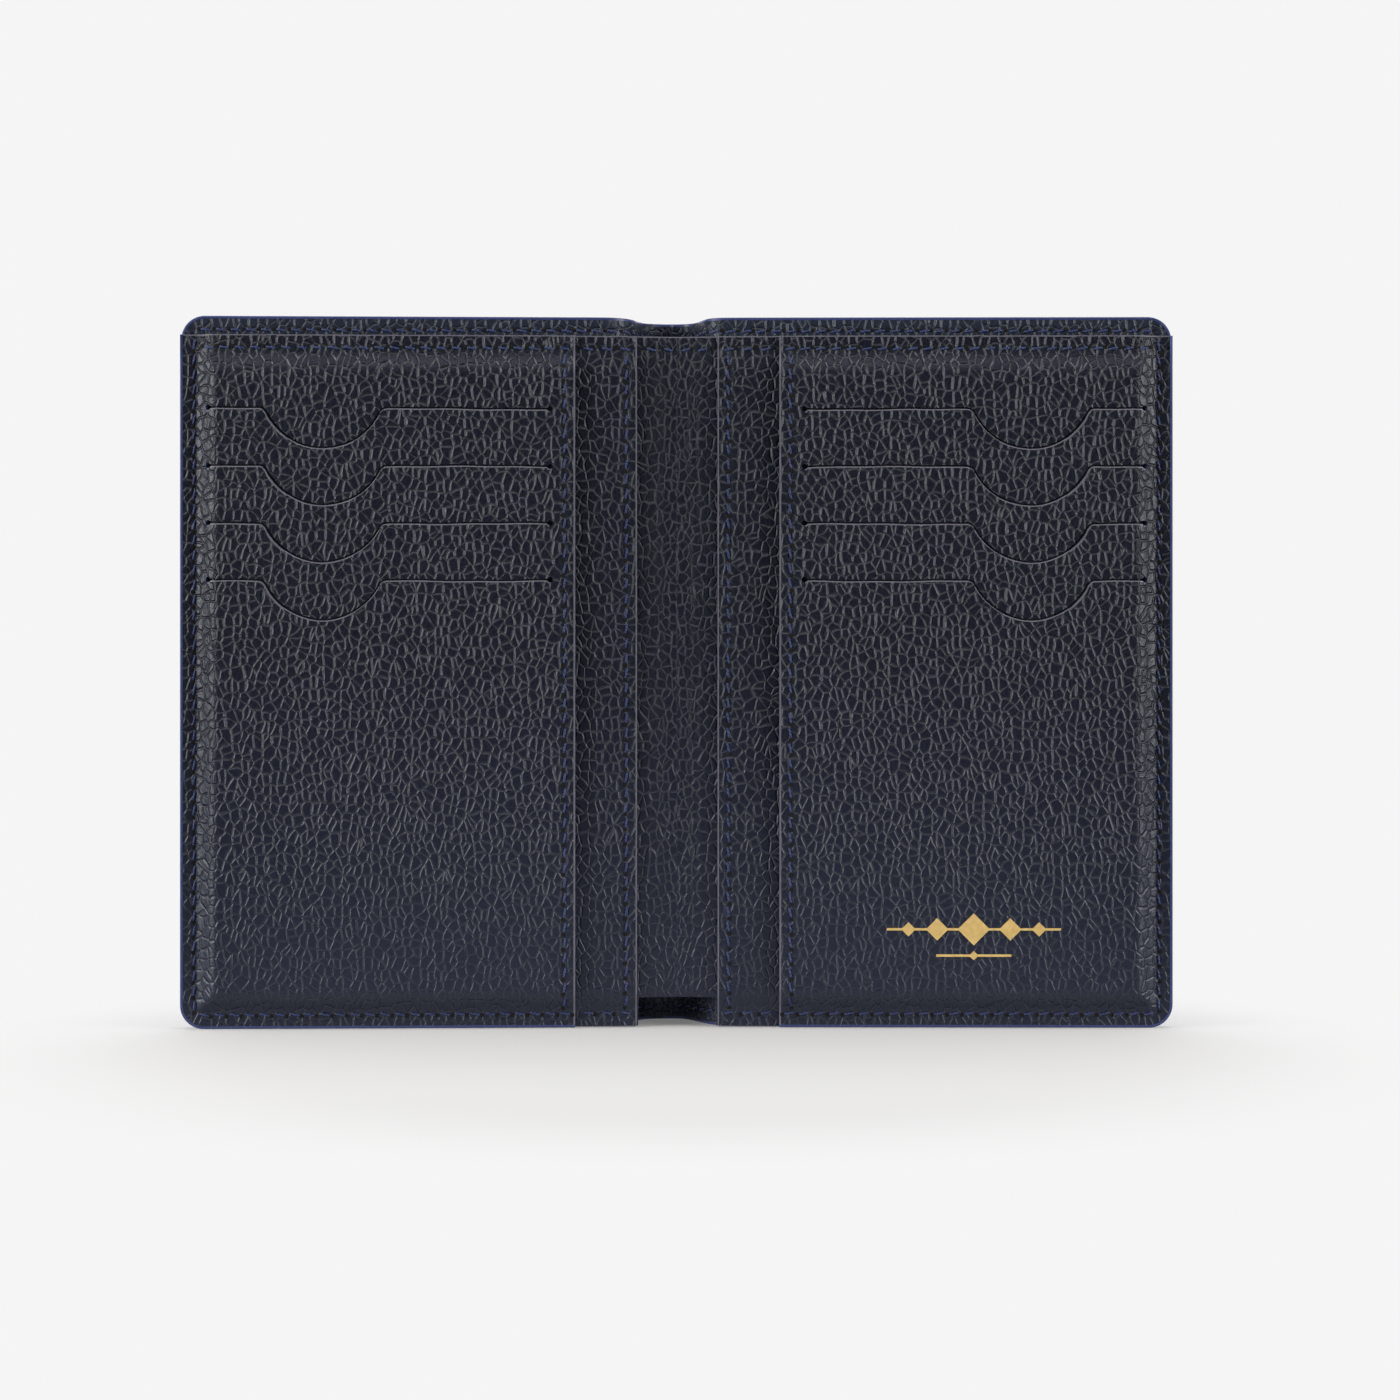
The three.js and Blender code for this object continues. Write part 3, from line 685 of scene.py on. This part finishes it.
weave = diagonal_bands(tree, 900, 1.5)
shaded(tree, shader, weave, (0.004, 0.006, 0.012), (0.012, 0.017, 0.032), 0.2, 0.8, 0.85, 0.7)
raised(tree, shader, weave, 0.00005)
twill_thick = 0.15
for name, side in SIDES.items():
    p, z = np.meshgrid(stops((strip_middle[name], 0.45, 0.4)), stops((strip_z + 0.2, wall_height - 0.2, 3)))
    points = on_wall(name, p, wall_front(p, z) - wall_thick - 0.06, z)
    surface = np.concatenate([points, p[..., None]], -1)
    piece = leather_sheet(f"wall_fold_twill_{name}", name, surface, twill_thick, [twill], bevel=0)
    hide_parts(*(["inner_wall_fold_lining"] if name == "right" else []))
    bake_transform(piece)
for name in SIDES:
    for part in ("inner_wall_lining", "slip_pocket_lining", "card_panel_backing"):
        finish_node(f"{part}_{name}", twill)
    for i in range(1, 5):
        finish_node(f"card_pocket_{name}_{i}", twill)

# Slip pocket panels
# A leather panel on each half, sewn to the wall along its free edge, the top and the outer edges,
# which makes a long pocket open towards the spine. Its free edge is cut and painted, with a pale
# painted highlight along it.
PANEL_SEAM = 1.9


def stacked(u, z, lower, step_pressed, step_loft):
    """Front of a panel that lies on a lower one: pressed on it at sewn edges and loose between."""
    rise = loft(rim_distance(u, z, wall_height))
    return lower + step_pressed + (step_loft - step_pressed) * rise


slip_step = slip_back - wall_back
slip_loft_step = slip_loft_front - wall_loft_front


def slip_front(u, z):
    return stacked(u, z, wall_front(u, z), slip_step, slip_loft_step)


def panel_dips(u, z, start):
    """Seams beside the free edge and along the top, and the roll of the free edge."""
    dip = seam_dip(u - start - PANEL_SEAM, 0.16, 0.6) + seam_dip(z - (wall_height - TOP_SEAM), 0.10)
    return dip + seam_dip(rim_distance(u, z, wall_height, top=False) - SEAM)


for name in SIDES:
    us = stops((slip_start + 0.1, slip_start + 4, 0.25), (slip_start + 4, 14, 1.0), (14, half_width - 8, 2.5),
               (half_width - 8, half_width - 1.2, 0.45), (half_width - 1.2, half_width - paint, 0.2))
    p, z = np.meshgrid(us, panel_rows)
    u = np.where(z < 10, rounded(p, z, cover_height, top=False), p)
    v = slip_front(u, z) + panel_dips(u, z, slip_start)
    v = v + 0.05 * np.sin(z / 5.3 + 1) * np.exp(-((u - slip_start) / 3) ** 2)
    surface = on_hide(flat(name, u, v, z), u, name, 1500)
    piece = leather_sheet(f"slip_panel_leather_{name}", name, surface, wall_thick,
                          [panel_leather, *panel_finishes], bevel=0.12)
    # A painted highlight along the free edge and the top edge.
    painted_highlight_band(piece, lambda at, z: (at < slip_start + 0.24) | (z > wall_height - PALE))
    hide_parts(f"slip_pocket_panel_{name}")
    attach(piece, f"{name}_half")

# Card panels
# The top panel of each half, cut with four straight slots that each dip in a round notch for the
# thumb and end in a small punched hole. The leather above a slot is left in it as a tongue.
(card_start, _), (card_back, card_loft_front), _ = local_extent("card_panel_right")
card_thick = 0.6
card_step = card_back + card_thick - (slip_back + wall_thick)
card_loft_step = card_loft_front - slip_loft_front
pocket_lap = 4  # the pockets are glued this far above their slots
slot_z = [round(local_extent(f"card_pocket_right_{i}")[2][1] - pocket_lap, 3) for i in range(1, 5)]
slot_u = card_start + 4.3
slot_length = 57.2
slot_end = slot_u + slot_length
thumb_u = slot_u + slot_length / 2 + 9.4
THUMB_R, THUMB_DEPTH, THUMB_FILLET = 10.5, 6.6, 1.6
SLIT, HOLE_R = 0.15, 0.46  # half the slit's width, and the end holes' radius


def card_front(u, z):
    return stacked(u, z, slip_front(u, z), card_step, card_loft_step)


def thumb_dip(u):
    """How far a slot's line drops at u."""
    off = np.abs(u - thumb_u)
    up = THUMB_R - THUMB_DEPTH
    across = math.sqrt((THUMB_R + THUMB_FILLET) ** 2 - (up + THUMB_FILLET) ** 2)
    meet = THUMB_R * across / (THUMB_R + THUMB_FILLET)
    arc = np.sqrt(np.maximum(THUMB_R**2 - off**2, 0)) - up
    shoulder = THUMB_FILLET - np.sqrt(np.maximum(THUMB_FILLET**2 - (across - off) ** 2, 0))
    return np.where(off < meet, arc, np.where(off < across, shoulder, 0))


def slot_line(u, i):
    return slot_z[i] - thumb_dip(u) + 0.07 * np.sin(0.21 * u + 1.7 * i) + 0.04 * np.sin(0.63 * u + i)


def steepness(u):
    """How much longer a slot's line is than its run at u."""
    return np.sqrt(1 + np.minimum(np.abs(thumb_dip(u + 0.05) - thumb_dip(u - 0.05)) / 0.1, 2.6) ** 2)


def slot_gap(u):
    """Half the opening of a slot at u, measured upright, with its round end holes; 0 outside it."""
    gap = np.where((u > slot_u) & (u < slot_end), SLIT * steepness(u), 0.0)
    for end in (slot_u, slot_end):
        gap = np.maximum(gap, np.sqrt(np.maximum(HOLE_R**2 - (u - end) ** 2, 0)))
    return gap


# The panel's grid: columns close together at the end holes and the thumb notch, and rows that
# follow the slots' lines, with the row of faces between two cut edges left open.
u_row = stops((card_start + 0.1, slot_u - 0.6, 0.3), (slot_u - 0.6, slot_u + 0.6, 0.07),
              (slot_u + 0.6, thumb_u - 12, 0.9), (thumb_u - 12, thumb_u + 12, 0.22),
              (thumb_u + 12, slot_end - 0.6, 0.6), (slot_end - 0.6, slot_end + 0.6, 0.07),
              (slot_end + 0.6, half_width - 1.2, 0.35), (half_width - 1.2, half_width - paint, 0.2))
steep = steepness(u_row)
beside_cut = [d * steep for d in (0, 0.09, 0.2, 0.38, 0.7, 1.2)]
bands, slit_rows = [], []
upper = np.full_like(u_row, wall_height)
for i in range(4):
    gap = np.maximum(slot_gap(u_row), 0.02)
    lower = slot_line(u_row, i) + gap
    bands += [upper - d for d in beside_cut]
    low, high = lower + beside_cut[-1], upper - beside_cut[-1]
    bands += [high + (low - high) * t for t in np.linspace(0, 1, 12)[1:-1]]
    bands += [lower + d for d in beside_cut[::-1]]
    slit_rows.append(len(bands) - 1)
    upper = slot_line(u_row, i) - gap
bands += [upper - d for d in beside_cut]
high = upper - beside_cut[-1]
for t in stops((0, 0.12, 0.012), (0.12, 0.88, 0.03), (0.88, 0.985, 0.008), (0.985, 1, 0.003))[1:]:
    bands.append(high + (paint - high) * t)
card_z = np.array(bands)[::-1]
slit_rows = [len(bands) - 2 - row for row in slit_rows]


def on_lip(at, z):
    """Whether a face at a distance out and a height is on a slot's lower lip or a cut edge, which take the
    painted highlight.
    """
    under = np.stack([slot_line(at, i) - slot_gap(at) - z for i in range(4)])
    lip = ((under > -0.04) & (under < 0.21 * steepness(at))).any(0) & (at > slot_u) & (at < slot_end)
    return lip | (at < card_start + 0.24) | (z > wall_height - PALE)


for name in SIDES:
    p = np.broadcast_to(u_row, card_z.shape)
    z = card_z
    u = np.where(z < 10, rounded(p, z, cover_height, top=False), p)
    v = card_front(u, z) + panel_dips(u, z, card_start)
    inside = smooth((u - slot_u + 0.3) / 1.5) * smooth((slot_end + 0.3 - u) / 1.5)
    for i in range(4):
        above = z - slot_line(u, i) - slot_gap(u)
        below = -(z - slot_line(u, i) + slot_gap(u))
        tongue = np.where(above > -0.05, np.exp(-np.maximum(above, 0) / 1.3), 0)
        lip = np.where(below > -0.05, np.exp(-np.maximum(below, 0) / 0.8), 0)
        rolled = 0.14 * np.exp(-((np.maximum(below, 0) / 0.15) ** 2)) * (below > -0.05)
        v = v + inside * (0.10 * lip - 0.16 * tongue - rolled)
    belly = smooth((u - card_start - 2) / 14) * smooth((half_width - 8 - u) / 14)
    belly = belly * smooth(z / 25) * smooth((115 - z) / 15)
    v = v + belly * 0.10 * (np.sin(u / 9.5 + 0.4) * np.sin(z / 13 + 1.1))
    surface = on_hide(flat(name, u, v, z), u, name, 2000)
    keep = np.ones((z.shape[0] - 1, z.shape[1] - 1), bool)
    middle = 0.5 * (u_row[:-1] + u_row[1:])
    for row in slit_rows:
        keep[row] = slot_gap(middle) == 0
    piece = leather_sheet(f"card_panel_leather_{name}", name, surface, card_thick,
                          [panel_leather, *panel_finishes], bevel=0.09, keep=keep)
    # A painted highlight along the slots' lower lips, the free edge and the top edge.
    painted_highlight_band(piece, on_lip)
    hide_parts(f"card_panel_{name}")
    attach(piece, f"{name}_half")

# Painted edges
# Where layers end together they are cut flush, sanded and coated with navy edge paint, which
# stands a little proud as one rounded bead.
def bead(name, side, path, outward, back, front, place_on):
    """A rounded bead of paint along points (u, z) of a cut edge, from depth back to depth front."""
    us, zs = path.T
    half_thick = 0.5 * (front - back) + 0.03
    round_off = np.minimum(half_thick, 0.45)
    under_edge = 0.3  # the bead starts this far inside the leather
    profile = [(-under_edge, 1.0, 0)]
    for k in range(7):
        angle = math.pi / 2 * k / 6
        profile.append((paint * math.sin(angle), 1.0, 1 - math.cos(angle)))
    profile += [(o, -s, r) for o, s, r in profile[::-1]]
    points, centre = [], 0.5 * (back + front)
    for o, s, r in profile:
        v = centre + s * (half_thick - r * round_off)
        points.append(place_on(side, us + o * outward[:, 0], v, zs + o * outward[:, 1]))
    grid = np.stack(points, 1)
    index, quads = grid_quads(*grid.shape[:2])
    quads = quads.reshape(-1, 4)
    if SIDES[side] < 0:
        quads = quads[:, ::-1]
    ends = [index[0, ::-1].tolist(), index[-1].tolist()]
    piece = make_piece(name, grid.reshape(-1, 3), quads.tolist() + ends, [edge_paint])
    return piece


def quarter_turn(u, z, radius, start, end, count):
    """Points and outward directions round a corner whose centre is (u, z)."""
    out = [(math.cos(a), math.sin(a)) for a in np.linspace(start, end, count)]
    return [(u + radius * across, z + radius * up) for across, up in out], out


def rim_path(top, first, height):
    """Points and outward directions round a half's outer edge, from the spine along the top if there
    is one, down the side and back along the foot to first."""
    edge, radius = half_width - paint, corner - paint
    low, high = paint, height - paint if top else height
    if top:
        points = [(u, high) for u in cover_columns(first)[:-1] if u < edge - radius]
        out = [(0, 1)] * len(points)
        turn, turn_out = quarter_turn(edge - radius, high - radius, radius, math.pi / 2, 0, 14)
        points, out = points + turn, out + turn_out
    else:
        points, out = [(edge, high)], [(1, 0)]
    points += [(edge, z) for z in np.linspace(high - radius - 2, low + radius + 2, 30)]
    out += [(1, 0)] * 30
    turn, turn_out = quarter_turn(edge - radius, low + radius, radius, 0, -math.pi / 2, 14)
    foot = [(u, low) for u in cover_columns(first)[::-1] if u < edge - radius - 0.3]
    points, out = points + turn + foot, out + turn_out + [(0, -1)] * len(foot)
    return np.array(points), np.array(out, float)


for name, side in SIDES.items():
    path, out = rim_path(True, trough_end[name], cover_height)
    back, front = np.full(len(path), -cover_leather / 2), lining_front(*path.T)
    piece = bead(f"cover_edge_paint_{name}", name, path, out, back, front, on_cover)
    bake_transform(piece)
    path, out = rim_path(False, card_start + 0.1, wall_height)
    back, front = lining_front(*path.T), card_front(*path.T)
    piece = bead(f"stack_edge_paint_{name}", name, path, out, back, front, flat)
    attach(piece, f"{name}_half")

# Seams
# Navy polyester thread, machine sewn at 2.5 mm a stitch. Each stitch lies a little aslant between
# two needle holes, round the edges, along the top and beside each free edge.
thread, tree, shader = new_material("navy sewing thread")
twist = diagonal_bands(tree, 1100, 0.6)
shaded(tree, shader, twist, (0.016, 0.027, 0.095), (0.044, 0.064, 0.195), 0.2, 0.8, 0.65, 0.5)
raised(tree, shader, twist, 0.00006)
# The needle holes are discs of near-black painted shade, standing in for the shadow inside each hole.
needle_hole_shade, tree, shader = new_material("needle hole")
specks = noise(tree, in_place(tree), 3000)["Fac"]
hole_shade_colour = mix_colour(tree, specks, (0.001, 0.001, 0.002), (0.003, 0.003, 0.005))
tree.links.new(hole_shade_colour, shader.inputs["Base Color"])
shader.inputs["Roughness"].default_value = 0.95

PITCH, STITCH_R = 2.5, 0.19
SLANT = 0.2  # a stitch's turn out of the seam's line, in radians
RINGS, AROUND = 7, 8  # sections of a stitch, and points round each
circle = [(math.cos(2 * math.pi * a / AROUND), math.sin(2 * math.pi * a / AROUND)) for a in range(AROUND)]


def tube_faces(base, rings):
    """Faces between rings of points, whose first point's number is base."""
    return [[base + r * AROUND + a, base + r * AROUND + (a + 1) % AROUND,
             base + (r + 1) * AROUND + (a + 1) % AROUND, base + (r + 1) * AROUND + a]
            for r in range(rings - 1) for a in range(AROUND)]


def cap_face(base, ring):
    return [base + ring * AROUND + a for a in range(AROUND)]


def seam(name, side, path, surface, place_on, outward=1):
    """Stitches along a path of (u, z) points on surface(u, z); outward -1 sews on the back face."""
    path = np.array(path, float)
    steps = np.linalg.norm(np.diff(path, axis=0), axis=1)
    length = np.append(0, np.cumsum(steps))
    count = max(1, int(length[-1] // PITCH))
    points, faces, kinds = [], [], []

    def on_path(distance):
        return np.array([np.interp(np.clip(distance, 0, length[-1]), length, path[:, c]) for c in (0, 1)])

    for k in range(count):
        middle = (k + 0.5) * length[-1] / count
        here, ahead, behind = on_path(middle), on_path(middle + 0.3), on_path(middle - 0.3)
        line = (ahead - behind) / np.linalg.norm(ahead - behind)
        aside = np.array([-line[1], line[0]])
        along = line * math.cos(SLANT) + aside * math.sin(SLANT)
        across = aside * math.cos(SLANT) - line * math.sin(SLANT)
        reach = 0.40 * PITCH
        base = len(points)
        for t in np.linspace(-1, 1, RINGS):
            thick = STITCH_R * (1 - 0.35 * t**4)
            lift = 0.10 - 0.30 * t**4
            for c, s in circle:
                at = here + along * reach * t + across * thick * c
                points.append((at[0], at[1], outward * (lift + 0.8 * thick * s)))
        stitch = tube_faces(base, RINGS) + [cap_face(base, 0)[::-1], cap_face(base, RINGS - 1)]
        # A disc of painted shade for a needle hole, past the stitch's end.
        hole = here + along * (reach + 0.16)
        base = len(points)
        for radius, lift in ((0.40, 0.01), (0.36, 0.04)):
            points += [(hole[0] + radius * c, hole[1] + radius * s, outward * lift) for c, s in circle]
        pit = tube_faces(base, 2) + [cap_face(base, 1)]
        faces += stitch + pit
        kinds += [0] * len(stitch) + [1] * len(pit)
    points = np.array(points)
    depth = surface(points[:, 0], points[:, 1]) + points[:, 2]
    world = place_on(side, points[:, 0], depth, points[:, 1])
    if outward * SIDES[side] > 0:
        faces = [f[::-1] for f in faces]
    piece = make_piece(name, world, faces, [thread, needle_hole_shade], face_material=kinds)
    return piece


def front_of_cover(u, z):
    return lining_front(u, z) - 0.09


def front_of_card(u, z):
    return card_front(u, z) + panel_dips(u, z, card_start)


def front_of_slip(u, z):
    return slip_front(u, z) + panel_dips(u, z, slip_start)


def back_of_cover(u, z):
    return 0 * u - cover_leather / 2 + 0.07


def front_of_wall(u, z):
    return wall_front(u, z) - 0.07


high, low, top = cover_height - SEAM, SEAM, wall_height - TOP_SEAM
seam_u, seam_radius = half_width - SEAM, corner - SEAM
turn, _ = quarter_turn(seam_u - seam_radius, high - seam_radius, seam_radius, math.pi / 2, 0, 6)
foot_turn, _ = quarter_turn(seam_u - seam_radius, low + seam_radius, seam_radius, 0, -math.pi / 2, 6)
for name, side in SIDES.items():
    body = f"{name}_half"
    first = trough_end[name] + 0.4
    # The halves of a thread that runs on over the spine stand in for it together, so only the right
    # one names the spine's node.
    right = name == "right"
    path = [(first, high), *turn, (seam_u, wall_height + 0.6)]
    piece = seam(f"lining_seam_{name}", name, path, front_of_cover, on_cover)
    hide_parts(*(["spine_top_thread_front"] if right else []))
    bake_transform(piece)
    path = [(first, low), (slip_start - 0.4, low)]
    piece = seam(f"trough_foot_seam_{name}", name, path, front_of_cover, on_cover)
    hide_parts(*(["spine_bottom_thread_front"] if right else []))
    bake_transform(piece)
    path = [(seam_u, wall_height - 0.4), *foot_turn, (card_start + 0.5, low)]
    piece = seam(f"stack_seam_{name}", name, path, front_of_card, flat)
    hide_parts(f"perimeter_thread_front_{name}")
    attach(piece, body)
    path = [(card_start - 0.6, low), (slip_start + 0.4, low)]
    piece = seam(f"slip_foot_seam_{name}", name, path, front_of_slip, flat)
    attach(piece, body)
    path = [(first, high), *turn, *foot_turn, (first, low)]
    piece = seam(f"back_seam_{name}", name, path, back_of_cover, on_cover, outward=-1)
    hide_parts(f"perimeter_thread_back_{name}",
                *(["spine_top_thread_back", "spine_bottom_thread_back"] if right else []))
    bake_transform(piece)
    path = [(card_start + 0.6, top), (seam_u - 1.2, top)]
    piece = seam(f"card_top_seam_{name}", name, path, front_of_card, flat)
    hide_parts(f"top_thread_{name}")
    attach(piece, body)
    path = [(slip_start + 0.5, top), (card_start - 0.5, top)]
    piece = seam(f"slip_top_seam_{name}", name, path, front_of_slip, flat)
    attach(piece, body)
    path = [(strip_middle[name] + 0.1, top), (slip_start - 0.5, top)]
    piece = seam(f"strip_top_seam_{name}", name, path, front_of_wall, on_wall)
    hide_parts(*(["top_thread_fold"] if right else []))
    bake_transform(piece)
    for label, start, surface in (("slip", slip_start, front_of_slip), ("card", card_start, front_of_card)):
        path = [(start + PANEL_SEAM, top - 0.6), (start + PANEL_SEAM, low + 0.8)]
        piece = seam(f"{label}_edge_seam_{name}", name, path, surface, flat)
        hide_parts(f"{label}_edge_thread_{name}")
        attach(piece, body)

# Gold ornament
# A plain ornament hot stamped in gold foil on the right card panel: lozenges strung on a fine rule,
# and a short rule below. The foil is pressed level with the tops of the pebbles.
foil, tree, shader = new_material("hot stamped gold foil")
press = noise(tree, in_place(tree), 1600, 3)["Fac"]
shaded(tree, shader, press, (0.80, 0.53, 0.15), (0.98, 0.74, 0.33), 0.3, 0.7, 0.42, 0.58)
shader.inputs["Metallic"].default_value = 0.55
raised(tree, shader, press, 0.00003)
for node in ("foil_ornament_right", "foil_short_rule_right"):
    finish_node(node, foil)

# Floor and light
# A pale seamless floor that stays as bright as the air behind it, a wide soft light overhead and a
# little behind, weaker ones from the front and the back, and a narrow warm one at each side.
floor_mesh = bpy.data.meshes.new("floor")
floor_mesh.from_pydata([(-6, -3, 0), (6, -3, 0), (6, 6, 0), (-6, 6, 0)], [], [(0, 1, 2, 3)])
floor = bpy.data.objects.new("floor", floor_mesh)
bpy.context.scene.collection.objects.link(floor)
paper = bpy.data.materials.new("pale floor paper")
paper.use_nodes = True
tree = paper.node_tree
tree.nodes.clear()
seen = tree.nodes.new("ShaderNodeLightPath").outputs["Is Camera Ray"]
PALE_AIR = (0.913, 0.913, 0.913, 1)
glow = tree.nodes.new("ShaderNodeEmission")
glow.inputs["Color"].default_value = PALE_AIR
glow.inputs["Strength"].default_value = 0.165
lit = tree.nodes.new("ShaderNodeBsdfDiffuse")
lit.inputs["Color"].default_value = (0.58, 0.58, 0.585, 1)
near = tree.nodes.new("ShaderNodeAddShader")
tree.links.new(glow.outputs[0], near.inputs[0])
tree.links.new(lit.outputs[0], near.inputs[1])
away = tree.nodes.new("ShaderNodeEmission")
away.inputs["Color"].default_value = PALE_AIR
tree.links.new(ramp(tree, seen, 0, 1, 0.10, 1.0), away.inputs["Strength"])
spot = tree.nodes.new("ShaderNodeVectorMath")
spot.operation = "ADD"
spot.inputs[1].default_value = (0, 0.035, 0)
tree.links.new(in_place(tree), spot.inputs[0])
reach = tree.nodes.new("ShaderNodeVectorMath")
reach.operation = "LENGTH"
tree.links.new(spot.outputs[0], reach.inputs[0])
blend_out = tree.nodes.new("ShaderNodeMixShader")
tree.links.new(ramp(tree, reach.outputs["Value"], 0.07, 0.125), blend_out.inputs["Fac"])
tree.links.new(near.outputs[0], blend_out.inputs[1])
tree.links.new(away.outputs[0], blend_out.inputs[2])
out = tree.nodes.new("ShaderNodeOutputMaterial")
tree.links.new(blend_out.outputs[0], out.inputs["Surface"])
floor_mesh.materials.append(paper)

world = bpy.data.worlds.new("studio air")
bpy.context.scene.world = world
world.use_nodes = True
tree = world.node_tree
air = tree.nodes["Background"]
air.inputs["Color"].default_value = PALE_AIR
seen = tree.nodes.new("ShaderNodeLightPath")
dim = tree.nodes.new("ShaderNodeMapRange")
dim.inputs["To Min"].default_value = 0.06
dim.inputs["To Max"].default_value = 1.0
tree.links.new(seen.outputs["Is Camera Ray"], dim.inputs["Value"])
tree.links.new(dim.outputs[0], air.inputs["Strength"])


def softbox(name, place, target, size, power, colour=(1, 1, 1)):
    light = bpy.data.lights.new(name, "AREA")
    light.shape = "RECTANGLE"
    light.size, light.size_y = size
    light.energy = power
    light.color = colour
    lamp = bpy.data.objects.new(name, light)
    bpy.context.scene.collection.objects.link(lamp)
    lamp.location = place
    lamp.rotation_euler = (Vector(place) - Vector(target)).to_track_quat("Z", "Y").to_euler()


softbox("overhead", (0.0, 0.10, 0.75), (0, 0, 0.05), (0.9, 0.6), 4.0, (0.97, 0.98, 1.0))
softbox("key", (-0.08, -0.34, 0.62), (0, 0, 0.08), (0.7, 0.3), 0.6)
softbox("rear", (0.0, 0.80, 0.34), (0, 0, 0.06), (0.9, 0.4), 3.0)
softbox("side left", (-0.60, -0.22, 0.20), (0, 0, 0.07), (0.45, 0.45), 4.6, (1.0, 0.96, 0.91))
softbox("side right", (0.60, -0.22, 0.20), (0, 0, 0.07), (0.45, 0.45), 4.0, (1.0, 0.96, 0.91))
bpy.context.scene.view_settings.view_transform = "Standard"
